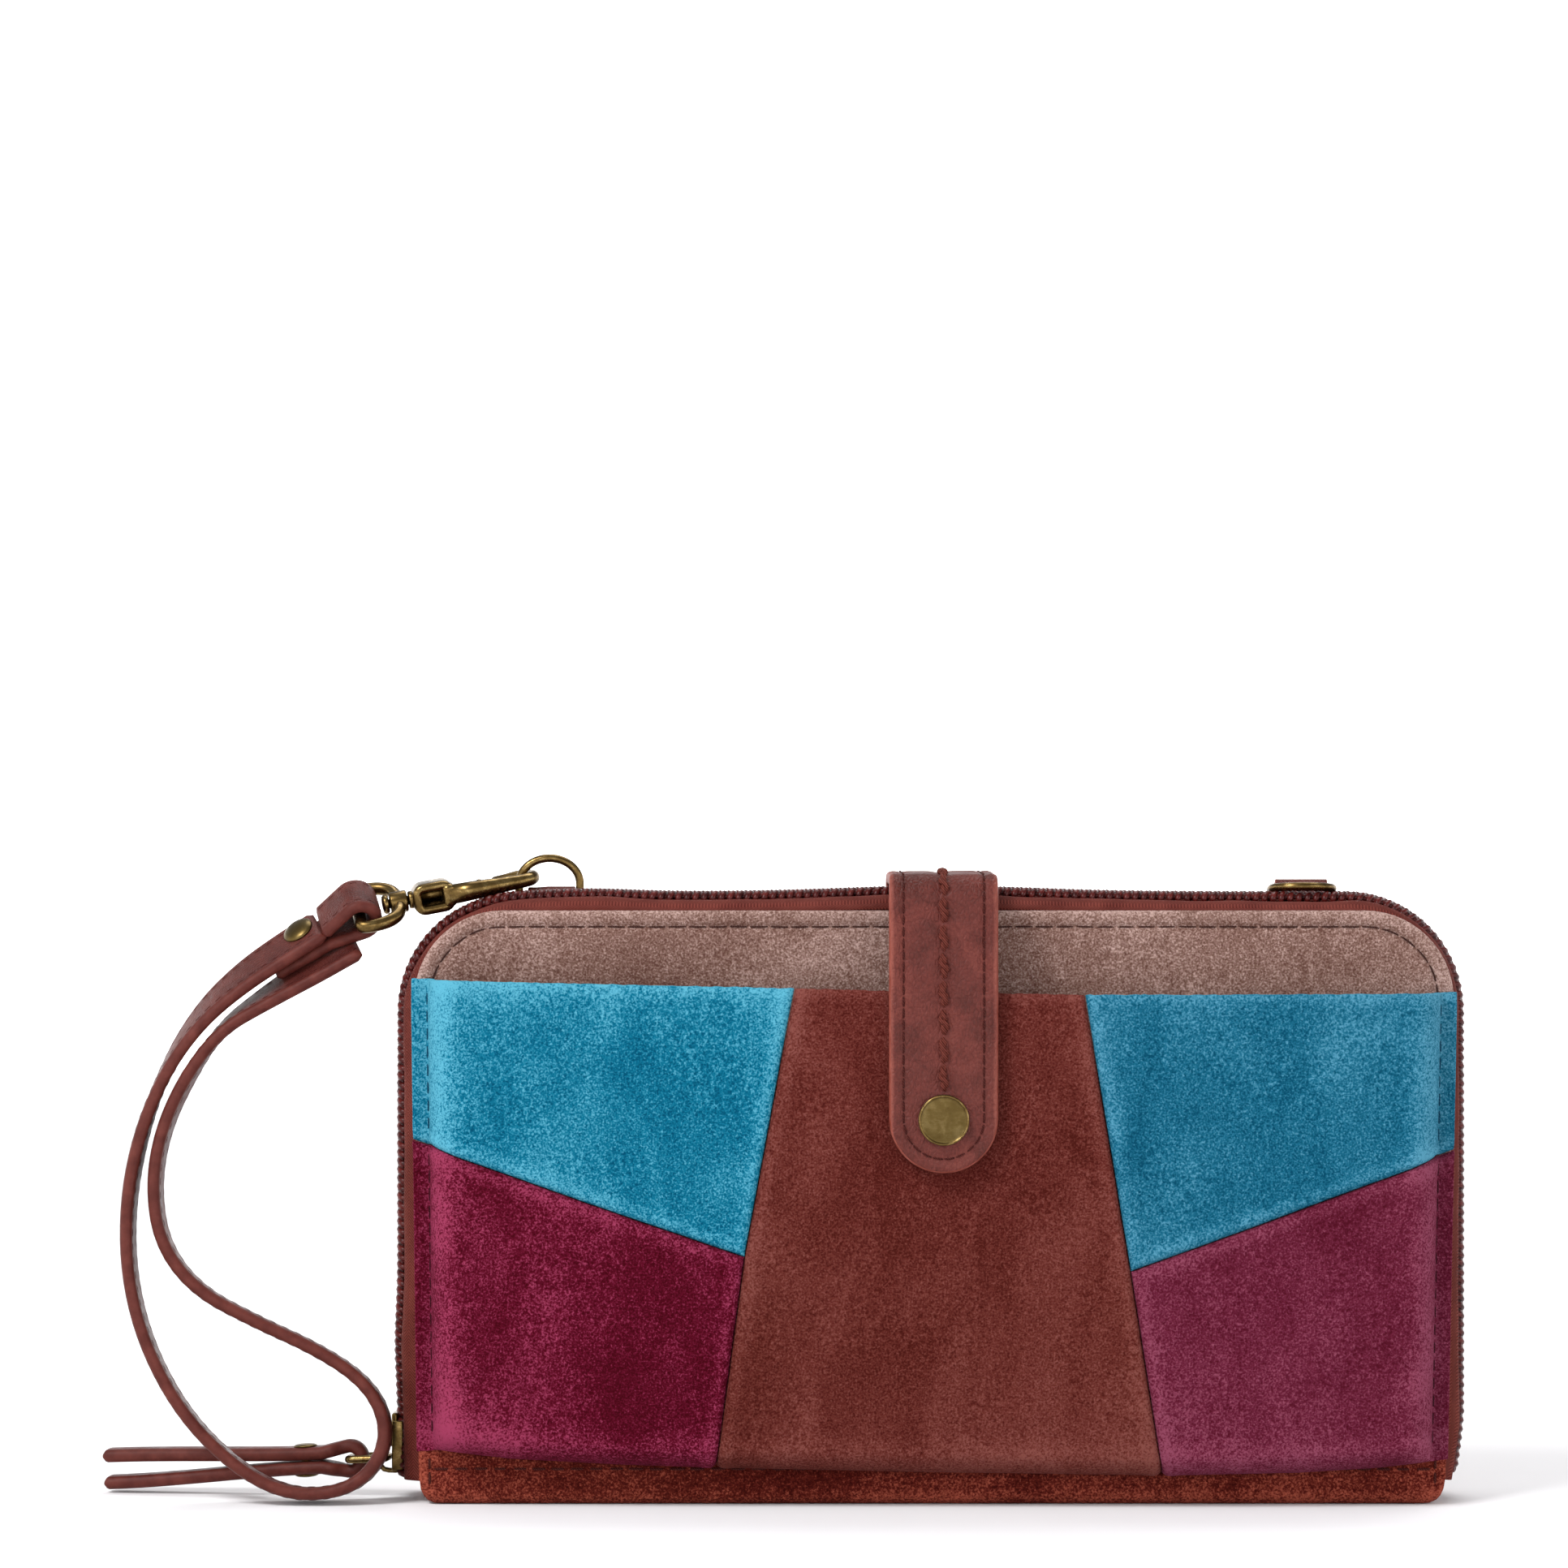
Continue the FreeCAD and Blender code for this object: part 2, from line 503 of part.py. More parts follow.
def strap_fold():
    """The strap's end folded round the eye's far bar."""
    middle, bar, away, upper = strap_frame()
    radius, layer = STRAP_FOLD + STRAP_THICK / 2, STRAP_THICK / 2 + 0.1
    reach = math.hypot(SEAM, layer)
    touch = math.atan2(layer, -SEAM) - math.acos(radius / reach)
    tangent = V(radius * math.cos(touch), 0, radius * math.sin(touch))
    edges = [
        Part.LineSegment(V(-SEAM, 0, layer), tangent).toShape(),
        Part.Arc(tangent, V(radius, 0, 0), V(tangent.x, 0, -tangent.z)).toShape(),
        Part.LineSegment(V(tangent.x, 0, -tangent.z), V(-SEAM, 0, -layer)).toShape(),
    ]
    fold = ribbon(Part.Wire(edges), V(0, 1, 0), STRAP_WIDE, STRAP_THICK)
    return placed(fold, middle, away * -1, bar, upper)


def strap_flap():
    """The folded end lying under the upper strand, held by the rivet."""
    middle = strap_frame()[0]
    flap = box(SEAM + 0.6, 20.0, -STRAP_WIDE / 2, STRAP_WIDE / 2, -STRAP_THICK - 0.2, -0.2)
    slope = math.radians(STRAP_SLOPE)
    away, normal = V(-math.cos(slope), 0, -math.sin(slope)), V(-math.sin(slope), 0, math.cos(slope))
    flap = placed(flap, middle, away, V(0, -1, 0), normal)
    return turned(flap, middle, V(1, 0, 0), -STRAP_LEAN).cut(rivet_hole(1.05, -9, 9))


def strap_rivet():
    shank = rivet_hole(1.0, -5.5, 2.6)
    return fuse(shank, rivet_hole(3.1, 2.55, 3.2), rivet_hole(2.6, -6.0, -5.4))


# ---- zipper slider and pull ----------------------------------------------------------------
def zip_slider():
    """Two plates joined by a thin neck between the coils, with a bail for the pull."""
    outer_x = -(TAPE_OUT + COIL) - 0.35
    inner_x = -(TAPE_OUT - TAPE) + 0.35
    outer = box(outer_x - 1.3, outer_x, -2.8, 2.8, 4.8, 16.4)
    inner = box(inner_x, inner_x + 1.1, -2.8, 2.8, 4.8, 16.4)
    neck = box(outer_x - 0.2, inner_x + 0.2, -0.14, 0.14, 7.0, 14.5)
    bail_x = outer_x - 1.3
    low, high = SLIDER_Z - 2.9, SLIDER_Z + 2.9
    post_low = box(bail_x - 2.8, bail_x, -0.8, 0.8, low, low + 1.2)
    post_high = box(bail_x - 2.8, bail_x, -0.8, 0.8, high - 1.2, high)
    crown = box(bail_x - 2.9, bail_x - 1.85, -0.8, 0.8, low, high)
    return fuse(outer, inner, neck, post_low, post_high, crown)


def pull_placed(shape):
    """From the pull's own frame (X along it, Z up) to its rest on the slider."""
    yaw, drop = math.radians(180 - PULL_YAW), math.radians(PULL_DROP)
    x_axis = V(math.cos(yaw) * math.cos(drop), math.sin(yaw) * math.cos(drop), -math.sin(drop))
    y_axis = V(-math.sin(yaw), math.cos(yaw), 0)
    return placed(shape, V(SLIDER_X, 0, SLIDER_Z), x_axis, y_axis, x_axis.cross(y_axis))


def pull_link():
    """Wire link through the bail, which carries the leather pull."""
    wire, half, far, corner = 0.55, 2.5, PULL_FOLD, 1.0
    cut = corner * (1 - math.sqrt(0.5))
    right = [V(0, half - corner, 0), V(cut, half - cut, 0), V(corner, half, 0)]
    edges = [
        Part.makeLine(V(0, corner - half, 0), right[0]),
        Part.Arc(right[0], right[1], right[2]).toShape(),
        Part.makeLine(right[2], V(far - corner, half, 0)),
        Part.Arc(V(far - corner, half, 0), V(far - cut, half - cut, 0), V(far, half - corner, 0)).toShape(),
        Part.makeLine(V(far, half - corner, 0), V(far, corner - half, 0)),
        Part.Arc(V(far, corner - half, 0), V(far - cut, cut - half, 0), V(far - corner, -half, 0)).toShape(),
        Part.makeLine(V(far - corner, -half, 0), V(corner, -half, 0)),
        Part.Arc(V(corner, -half, 0), V(cut, cut - half, 0), V(0, corner - half, 0)).toShape(),
    ]
    circle = Part.Wire(Part.makeCircle(wire, V(0, corner - half, 0), V(0, 1, 0)))
    return pull_placed(Part.Wire(edges).makePipeShell([circle], True, True))


def pull_strap():
    """Leather strip folded through the link, its two tails held by a rivet."""
    far, radius, meet, spread = PULL_FOLD, 1.2 + PULL_THICK / 2, 13.0, 2.3
    layer = PULL_THICK / 2 + 0.08
    reach = math.hypot(meet - far, layer)
    touch = math.atan2(layer, meet - far) + math.acos(radius / reach)
    x, z = far + radius * math.cos(touch), radius * math.sin(touch)
    edges = [
        Part.LineSegment(V(meet, 0, layer), V(x, 0, z)).toShape(),
        Part.Arc(V(x, 0, z), V(far - radius, 0, 0), V(x, 0, -z)).toShape(),
        Part.LineSegment(V(x, 0, -z), V(meet, 0, -layer)).toShape(),
    ]
    narrow = PULL_WIDE - 2.4
    fold = ribbon(Part.Wire(edges), V(0, 1, 0), narrow, PULL_THICK)
    tails = []
    for side in (1, -1):
        low, high = sorted((side * (layer - PULL_THICK / 2), side * (layer + PULL_THICK / 2)))
        end_low, end_high = sorted((side * (spread - PULL_THICK / 2), side * (spread + PULL_THICK / 2)))
        outline = [(meet, low), (meet + 6, low), (PULL_LONG, end_low), (PULL_LONG, end_high),
                   (meet + 6, high), (meet, high)]
        points = [V(across, -PULL_WIDE / 2, up) for across, up in outline]
        tails.append(polygon(points, V(0, PULL_WIDE, 0)))
    hole = rod(V(PULL_RIVET, 0, -5), V(PULL_RIVET, 0, 5), 1.05)
    solids = [piece.cut(hole) for piece in tails]
    return pull_placed(fuse(fold, *solids))


def pull_rivet():
    high = PULL_THICK + 0.2
    shank = rod(V(PULL_RIVET, 0, -high), V(PULL_RIVET, 0, high), 1.0)
    caps = [rod(V(PULL_RIVET, 0, side * high), V(PULL_RIVET, 0, side * (high + 0.7)), 2.3)
            for side in (1, -1)]
    return pull_placed(fuse(shank, *caps))


# ---- coin pocket in the middle --------------------------------------------------------------
def divider_wall(side):
    near, far = sorted((side * 0.6, side * 1.5))
    return box(-DIVIDER_HALF, DIVIDER_HALF, near, far, 3.6, DIVIDER_TOP)


def divider_edge():
    """Binding that joins the coin pocket's two walls at the sides and bottom."""
    left = box(-DIVIDER_HALF, -DIVIDER_HALF + 1.5, -0.6, 0.6, 3.6, DIVIDER_TOP)
    low = box(-DIVIDER_HALF, DIVIDER_HALF, -0.6, 0.6, 3.6, 5.1)
    return fuse(left, mirrored(left), low)


def coin_coil():
    """Closed nylon coil along the mouth of the coin pocket."""
    return box(-84, 84, -1.0, 1.0, DIVIDER_TOP + 0.3, DIVIDER_TOP + 1.7)


def coin_tape():
    """Zipper tape between the coin pocket's walls, with the coil on its upper edge."""
    return box(-86, 86, -0.5, 0.5, DIVIDER_TOP - 5, DIVIDER_TOP + 0.3)


def coin_slider():
    plate = box(-80, -71, -2.4, 2.4, DIVIDER_TOP + 2.0, DIVIDER_TOP + 3.0)
    cheek = box(-80, -71, 1.75, 2.4, DIVIDER_TOP + 0.4, DIVIDER_TOP + 3.0)
    other = box(-80, -71, -2.4, -1.75, DIVIDER_TOP + 0.4, DIVIDER_TOP + 3.0)
    post = box(-77.2, -73.8, -0.7, 0.7, DIVIDER_TOP + 3.0, DIVIDER_TOP + 5.0)
    eye = rod(V(-75.5, -1, DIVIDER_TOP + 4.0), V(-75.5, 1, DIVIDER_TOP + 4.0), 0.6)
    return fuse(plate, cheek, other, post).cut(eye)


def coin_puller():
    """Flat metal puller hinged on the coin slider, lying along the pocket's mouth."""
    pivot = V(-75.5, 0, DIVIDER_TOP + 4.0)
    pin = rod(pivot - V(0, 1.8, 0), pivot + V(0, 1.8, 0), 0.5)
    arm = box(-76.0, -66.0, 0.85, 1.8, DIVIDER_TOP + 3.5, DIVIDER_TOP + 4.5)
    grip = box(-71.5, -57.0, -2.0, 2.0, DIVIDER_TOP + 3.5, DIVIDER_TOP + 4.5)
    hole = box(-60.5, -58.8, -1.0, 1.0, DIVIDER_TOP + 3, DIVIDER_TOP + 5)
    return fuse(pin, arm, mirrored_y(arm), grip).cut(hole)


def mirrored_y(shape):
    return shape.mirror(V(0, 0, 0), V(0, 1, 0))


# ---- all the nodes ---------------------------------------------------------------------------
def nodes():
    origin, along, hook, eye = hook_frames()
    on_hook = lambda shape: placed(shape, origin, along, hook[0], hook[1])
    on_eye = lambda shape: placed(shape, origin, along, eye[0], eye[1])
    made = {
        "back_cover": cover(1),
        "back_lining": cover_lining(1),
        "spine": spine(),
        "spine_board": spine_board(),
        "back_zip_tape": zip_tape(1),
        "back_zip_coil": zip_coil(1),
        "side_gusset_left": gusset(),
        "side_gusset_right": mirrored(gusset()),
        "ring_loop_left": ring_loop(LEFT_RING_X, LEFT_BAR_Z),
        "ring_loop_right": ring_loop(RIGHT_RING_X, RIGHT_BAR_Z),
        "tab_anchor": tab_anchor(),
        "front_cover": cover(-1),
        "front_lining": cover_lining(-1),
        "spine_front_flange": spine_front_flange(),
        "front_zip_tape": zip_tape(-1),
        "front_zip_coil": zip_coil(-1),
        "snap_socket": snap_socket(),
        "closure_tab": tab_flap(),
        "snap_cap": snap_cap(),
        "snap_stud": snap_stud(),
        "d_ring_left": d_ring(LEFT_RING_X, LEFT_BAR_Z, 0),
        "d_ring_right": d_ring(RIGHT_RING_X, RIGHT_BAR_Z, RIGHT_RING_LEAN),
        "hook_body": on_hook(hook_body()),
        "hook_gate": on_hook(hook_gate()),
        "swivel_eye": on_eye(swivel_eye()),
        "wrist_strap": wrist_strap(),
        "strap_fold": strap_fold(),
        "strap_flap": strap_flap(),
        "strap_rivet": strap_rivet(),
        "zip_slider": zip_slider(),
        "pull_link": pull_link(),
        "pull_strap": pull_strap(),
        "pull_rivet": pull_rivet(),
        "coin_pocket_front": divider_wall(-1),
        "coin_pocket_back": divider_wall(1),
        "coin_pocket_binding": divider_edge(),
        "coin_zip_tape": coin_tape(),
        "coin_zip_coil": coin_coil(),
        "coin_slider": coin_slider(),
        "coin_puller": coin_puller(),
    }
    made.update(patches())
    for layer, top in enumerate((84.0, 72.0, 60.0)):
        made[f"back_card_pocket_{layer + 1}"] = card_pocket(1, layer, top)
    for layer, top in enumerate((80.0, 66.0)):
        made[f"front_card_pocket_{layer + 1}"] = card_pocket(-1, layer, top)
    return made


def main():
    os.makedirs("parts", exist_ok=True)
    for name, shape in nodes().items():
        if not shape.isValid():
            print("NOT VALID:", name)
        print(f"{name:22s} solids {len(shape.Solids)}  volume {shape.Volume:9.1f} mm3")
        shape.exportStep(f"parts/{name}.step")


if __name__ == "__main__":
    main()
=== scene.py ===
"""Looks of the wristlet wallet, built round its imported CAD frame.

Lengths are in millimetres, in the frame of the CAD model: +X to the right of the front
face, +Y to the back, +Z up, with the origin on the floor under the middle of the spine.
"""
import json
import math

import bmesh
import bpy
import numpy as np
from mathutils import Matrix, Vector, noise


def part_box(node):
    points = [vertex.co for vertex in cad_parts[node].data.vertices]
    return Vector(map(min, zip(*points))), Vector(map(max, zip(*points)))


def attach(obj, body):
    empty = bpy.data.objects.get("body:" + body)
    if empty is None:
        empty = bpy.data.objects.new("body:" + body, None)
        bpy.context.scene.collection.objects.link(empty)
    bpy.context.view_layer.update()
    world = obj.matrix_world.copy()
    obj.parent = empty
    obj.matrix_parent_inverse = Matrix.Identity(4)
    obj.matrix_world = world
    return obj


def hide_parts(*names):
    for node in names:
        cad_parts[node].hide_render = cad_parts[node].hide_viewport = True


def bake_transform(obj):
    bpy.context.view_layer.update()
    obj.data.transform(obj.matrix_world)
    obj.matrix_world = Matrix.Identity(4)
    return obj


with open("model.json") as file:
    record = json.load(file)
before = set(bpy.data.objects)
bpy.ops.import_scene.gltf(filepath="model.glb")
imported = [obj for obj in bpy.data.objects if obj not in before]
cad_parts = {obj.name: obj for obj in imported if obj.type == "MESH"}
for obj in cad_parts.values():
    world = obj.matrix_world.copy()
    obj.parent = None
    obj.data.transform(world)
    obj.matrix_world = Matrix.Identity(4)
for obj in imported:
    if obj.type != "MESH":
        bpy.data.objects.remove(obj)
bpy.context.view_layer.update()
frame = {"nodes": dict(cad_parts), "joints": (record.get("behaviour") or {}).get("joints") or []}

MM = 0.001
TAU = 2 * math.pi
FORWARD, UP = np.array([0, -1.0, 0]), np.array([0, 0, 1.0])


def corner_mm(node):
    """Lowest and highest corner of a CAD node, in millimetres."""
    low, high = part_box(node)
    return np.array(low) / MM, np.array(high) / MM


def joint(name):
    return next(j for j in frame["joints"] if j["name"] == name)


# ---- sizes taken from the frame ---------------------------------------------------------
COVER_LOW, COVER_HIGH = corner_mm("front_cover")
HALF = COVER_HIGH[0]
TOP, BOTTOM = COVER_HIGH[2], COVER_LOW[2]
FRONT_FACE, BACK_FACE = COVER_LOW[1], corner_mm("back_cover")[1][1]
COVER_THICK = COVER_HIGH[1] - COVER_LOW[1]
PANEL_CORNER = 17.0
TAPE_HIGH = corner_mm("back_zip_tape")[1]
TAPE_CORNER = 20.5
SPINE_HIGH = corner_mm("spine")[1]
FLANGE_LOW, FLANGE_HIGH = corner_mm("spine_front_flange")
TAB_LOW, TAB_HIGH = corner_mm("closure_tab")
TAB_MIDDLE = (TAB_LOW[0] + TAB_HIGH[0]) / 2
TAB_HALF = (TAB_HIGH[0] - TAB_LOW[0]) / 2
TAB_THICK = 2.4
CAP_LOW, CAP_HIGH = corner_mm("snap_cap")
SNAP_Z = (CAP_LOW[2] + CAP_HIGH[2]) / 2


# ---- meshes ------------------------------------------------------------------------------
def unit(v):
    v = np.asarray(v, float)
    return v / np.maximum(np.linalg.norm(v, axis=-1, keepdims=True), 1e-12)


def ripple(x, y, size, seed):
    """Smooth noise from -1 to 1 with features of about that size."""
    return noise.noise(Vector((x / size, y / size, seed)))


def gauss(distance, width):
    """1 at no distance, falling to 0 within about twice the width."""
    return np.exp(-(distance / width) ** 2)


def smooth_step(t):
    t = np.clip(t, 0, 1)
    return t * t * (3 - 2 * t)


def put(name, data):
    """A new object in the scene."""
    obj = bpy.data.objects.new(name, data)
    bpy.context.scene.collection.objects.link(obj)
    return obj


DRAWN_TOP = 95.0                # height from which the wallet narrows down to the floor
DRAWN_FOOT, DRAWN_LEFT = 1.9, 0.75      # how much at the floor, and at the top of the left side


def drawn_in(points):
    """The covers, their pocket and the spine narrow a little towards the floor."""
    x, t = points[:, 0], np.clip(points[:, 2], 0, DRAWN_TOP) / DRAWN_TOP
    inset = DRAWN_FOOT * (1 - t) + np.where(x < 0, DRAWN_LEFT * t, 0.0)
    near_side = smooth_step((np.abs(x) - 55) / 42)
    return np.stack([x - np.sign(x) * inset * near_side, points[:, 1], points[:, 2]], axis=1)


class Shape:
    """Points, faces, and the material, UV and lightening (wear and painted highlight) that go with them, as a
    piece is made.
    """

    def __init__(self):
        self.points, self.faces, self.kinds, self.uvs, self.wear_and_highlight = [], [], [], [], []

    def add(self, points, faces, kinds=0, uv=None, wear_and_highlight=None):
        start = len(self.points)
        points = np.asarray(points, float).reshape(-1, 3)
        self.points.extend(points.tolist())
        self.faces.extend([tuple(start + i for i in face) for face in faces])
        self.kinds.extend([kinds] * len(faces) if isinstance(kinds, int) else list(kinds))
        self.uvs.extend(np.zeros((len(points), 2)).tolist() if uv is None else np.asarray(uv).tolist())
        self.wear_and_highlight.extend([0.0] * len(points) if wear_and_highlight is None else np.asarray(wear_and_highlight, float).ravel().tolist())

    def piece(self, name, materials, slot, body=None, replaces=(), narrowed=False):
        mesh = bpy.data.meshes.new(name)
        places = np.array(self.points)
        if narrowed:
            places = drawn_in(places)
        mesh.from_pydata((places * MM).tolist(), [], self.faces)
        layer = mesh.uv_layers.new(name="UVMap")
        loops = np.zeros(len(mesh.loops), int)
        mesh.loops.foreach_get("vertex_index", loops)
        layer.data.foreach_set("uv", np.array(self.uvs)[loops].astype(np.float32).ravel())
        # Per-point lightening for the suede and leather: rubbed places, and painted highlights.
        wear_and_highlight = mesh.attributes.new("wear_and_highlight", "FLOAT", "POINT")
        wear_and_highlight.data.foreach_set("value", np.array(self.wear_and_highlight, np.float32))
        for material in materials:
            mesh.materials.append(material)
        mesh.polygons.foreach_set("material_index", np.array(self.kinds, np.int32))
        mesh.polygons.foreach_set("use_smooth", np.ones(len(mesh.polygons), bool))
        work = bmesh.new()
        work.from_mesh(mesh)
        bmesh.ops.recalc_face_normals(work, faces=work.faces)
        work.to_mesh(mesh)
        work.free()
        mesh.update()
        obj = put(name, mesh)
        if body:
            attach(obj, body)
        if replaces:
            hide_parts(*replaces)
        return obj


def grid_faces(rows, columns, close_rows=False, close_columns=False):
    faces = []
    for i in range(rows if close_rows else rows - 1):
        for j in range(columns if close_columns else columns - 1):
            k, m = (i + 1) % rows, (j + 1) % columns
            faces.append((i * columns + j, k * columns + j, k * columns + m, i * columns + m))
    return faces


def end_faces(rings, around):
    """Faces that close the first and the last ring."""
    return [tuple(range(around)), tuple((rings - 1) * around + k for k in reversed(range(around)))]


def surface_normals(grid):
    """The grid's normals, along (row direction) x (column direction)."""
    return unit(np.cross(np.gradient(grid, axis=0), np.gradient(grid, axis=1)))


def grid_run(grid, axis):
    """Distance along a grid's rows or columns, from the first of them."""
    return np.linalg.norm(np.diff(grid, axis=axis, prepend=grid.take([0], axis)), axis=2).cumsum(axis=axis)


def run_along(path):
    """Distance along a path, from its first point."""
    return np.concatenate([[0], np.cumsum(np.linalg.norm(np.diff(path, axis=0), axis=1))])


def turned(centre, radius, start, end, count):
    """Points of an arc, with its angles in degrees."""
    return [(centre[0] + radius * math.cos(a), centre[1] + radius * math.sin(a))
            for a in np.radians(np.linspace(start, end, count))]


def rounded_box(x0, x1, half, corner):
    """Corners of a flat rounded frame, in order round it."""
    right, left, side = x1 - corner, x0 + corner, half - corner
    points = []
    for n, centre in enumerate(((right, side), (left, side), (left, -side), (right, -side))):
        points += turned(centre, corner, 90 * n, 90 * n + 90, 7)
    return points


def facing(grid, towards):
    """The grid's normals, turned so that the middle one looks towards a direction."""
    normal = surface_normals(grid)
    return normal if normal[len(grid) // 2, len(grid[0]) // 2] @ towards > 0 else -normal


def slab(shape, grid, thick, bulge=0.3, kinds=(0, 0, 0), wear_and_highlight=None, towards=None, inner=None):
    """A sheet whose outer face is the grid (rows x columns x 3), with rounded edges.

    The outer face looks towards a direction, or along (row direction) x (column direction).
    """
    rows, columns = grid.shape[:2]
    if inner is None:
        inner = grid - (surface_normals(grid) if towards is None else facing(grid, towards)) * thick
    border = [(0, j) for j in range(columns - 1)] + [(i, columns - 1) for i in range(rows - 1)]
    border += [(rows - 1, j) for j in range(columns - 1, 0, -1)] + [(i, 0) for i in range(rows - 1, 0, -1)]
    middle = np.array([(grid[i, j] + inner[i, j]) / 2 for i, j in border])
    half = np.array([(grid[i, j] - inner[i, j]) / 2 for i, j in border])
    outward = unit(np.cross(np.roll(middle, -1, axis=0) - np.roll(middle, 1, axis=0), half))
    test = (columns - 1) // 2
    if outward[test] @ (grid[1, test] - grid[0, test]) > 0:
        outward = -outward
    rim = np.stack([middle + outward * bulge * math.sin(a) + half * math.cos(a)
                    for a in (math.pi / 5, math.pi / 2, math.pi * 4 / 5)], axis=1)
    uv = np.stack([grid_run(grid, 0), grid_run(grid, 1)], axis=2).reshape(-1, 2)
    edge = np.array([i * columns + j for i, j in border])
    count, loop = rows * columns, len(border)
    faces = grid_faces(rows, columns)
    inner_faces = [tuple(count + i for i in reversed(face)) for face in faces]
    rings = [edge] + [2 * count + np.arange(loop) * 3 + k for k in range(3)] + [edge + count]
    rim_faces = [(first[n], first[(n + 1) % loop], second[(n + 1) % loop], second[n])
                 for first, second in zip(rings, rings[1:]) for n in range(loop)]
    points = np.concatenate([grid.reshape(-1, 3), inner.reshape(-1, 3), rim.reshape(-1, 3)])
    uvs = np.concatenate([uv, uv, np.repeat(uv[edge], 3, axis=0)])
    rub_and_highlight = np.zeros(count) if wear_and_highlight is None else np.asarray(wear_and_highlight, float).ravel()
    # Its rounded rim takes at least 0.6 of the lightening.
    rub_and_highlight = np.concatenate([rub_and_highlight, rub_and_highlight * 0, np.repeat(np.maximum(rub_and_highlight[edge], 0.6), 3)])
    kind_list = [kinds[0]] * len(faces) + [kinds[1]] * len(faces) + [kinds[2]] * len(rim_faces)
    shape.add(points, faces + inner_faces + rim_faces, kind_list, uvs, rub_and_highlight)


def tube(shape, path, radius, sides, kind=0, closed=False, up=None, flat=1.0):
    """A round bar along a path; flat squeezes it along its up direction."""
    path = np.asarray(path, float)
    count = len(path)
    ahead, behind = np.roll(path, -1, axis=0), np.roll(path, 1, axis=0)
    tangent = unit(ahead - behind) if closed else unit(np.gradient(path, axis=0))
    radius = np.broadcast_to(np.asarray(radius, float), (count,))
    side = np.array([0.0, 0, 1]) if up is None else np.asarray(up, float)
    if up is None and abs(tangent[0] @ side) > 0.9:
        side = np.array([0.0, 1, 0])
    rings = []
    for i in range(count):
        reference = side if up is None or np.ndim(up) == 1 else up[i]
        first = unit(reference - tangent[i] * (reference @ tangent[i]))
        second = np.cross(tangent[i], first)
        if up is None:
            side = first
        for k in range(sides):
            a = TAU * k / sides
            rings.append(path[i] + radius[i] * (first * math.cos(a) * flat + second * math.sin(a)))
    faces = grid_faces(count, sides, close_rows=closed, close_columns=True)
    shape.add(rings, faces if closed else faces + end_faces(count, sides), kind)


def lathe(shape, profile, centre, axis, segments=48, kind=0):
    """A turned solid: profile is a list of (radius, height) from its axis, round to its axis."""
    axis = unit(axis)
    first = unit(np.cross(axis, [0.31, 0.2, 0.93]))
    second = np.cross(axis, first)
    points = []
    for radius, height in profile:
        for k in range(segments):
            a = TAU * k / segments
            points.append(np.asarray(centre) + axis * height
                          + (first * math.cos(a) + second * math.sin(a)) * max(radius, 1e-3))
    faces = grid_faces(len(profile), segments, close_columns=True)
    shape.add(points, faces + end_faces(len(profile), segments), kind)


def block(shape, low, high, bevel, place=None, kind=0, segments=3):
    """A box with rounded edges, put through place(points) if it is given."""
    work = bmesh.new()
    bmesh.ops.create_cube(work, size=1.0)
    low, high = np.array(low, float), np.array(high, float)
    for vert in work.verts:
        vert.co = Vector((low + high) / 2 + np.array(vert.co) * (high - low))
    bmesh.ops.bevel(work, geom=list(work.edges), offset=bevel, segments=segments, affect="EDGES",
                    profile=0.5, clamp_overlap=True)
    work.verts.index_update()
    points = np.array([vert.co for vert in work.verts])
    faces = [tuple(v.index for v in face.verts) for face in work.faces]
    work.free()
    shape.add(points if place is None else place(points), faces, kind)


def between(s, lengths, table):
    """The table's row at a distance, between the rows at the given lengths."""
    return np.array([np.interp(s, lengths, column) for column in table.T])


def resample(path, step):
    """Points evenly spaced along a path, with the distance between them close to step."""
    path = np.asarray(path, float)
    lengths = run_along(path)
    count = max(2, int(round(lengths[-1] / step)) + 1)
    return between(np.linspace(0, lengths[-1], count), lengths, path).T


def stitches(shape, path, normals, pitch=3.2, share=0.72, thick=0.34, lift=0.12, kind=0, slant=0.0):
    """A row of sewn stitches that dip into the surface at both ends."""
    path = np.asarray(path, float)
    normals = np.broadcast_to(np.asarray(normals, float), path.shape)
    lengths = run_along(path)
    total = lengths[-1]
    count = max(1, int(total // pitch))
    first = (total - count * pitch) / 2 + pitch * (1 - share) / 2

    for n in range(count):
        start = first + n * pitch
        ends = np.linspace(start, start + pitch * share, 6)
        height = lift - (thick + lift) * np.abs(np.linspace(-1, 1, 6)) ** 4
        line = []
        for k, s in enumerate(ends):
            point, normal = between(s, lengths, path), unit(between(s, lengths, normals))
            before, after = (between(at, lengths, path) for at in (max(s - 0.1, 0), min(s + 0.1, total)))
            ahead = unit(after - before)
            sideways = np.cross(normal, ahead) * slant * (k / 5 - 0.5) * pitch * share
            line.append(point + normal * height[k] + sideways)
        tube(shape, line, thick * np.array([0.75, 1, 1.05, 1.05, 1, 0.75]), 6, kind,
             up=between(start, lengths, normals))


# ---- materials ---------------------------------------------------------------------------
LIGHT_LEVEL = 0.56      # a surface's own tone against the one it has in this light


def linear(tone):
    """A surface's linear colour, from the 8-bit sRGB values that it has in the studio light."""
    parts = [v / 255 for v in tone]
    return tuple(LIGHT_LEVEL * (v / 12.92 if v <= 0.04045 else ((v + 0.055) / 1.055) ** 2.4) for v in parts)


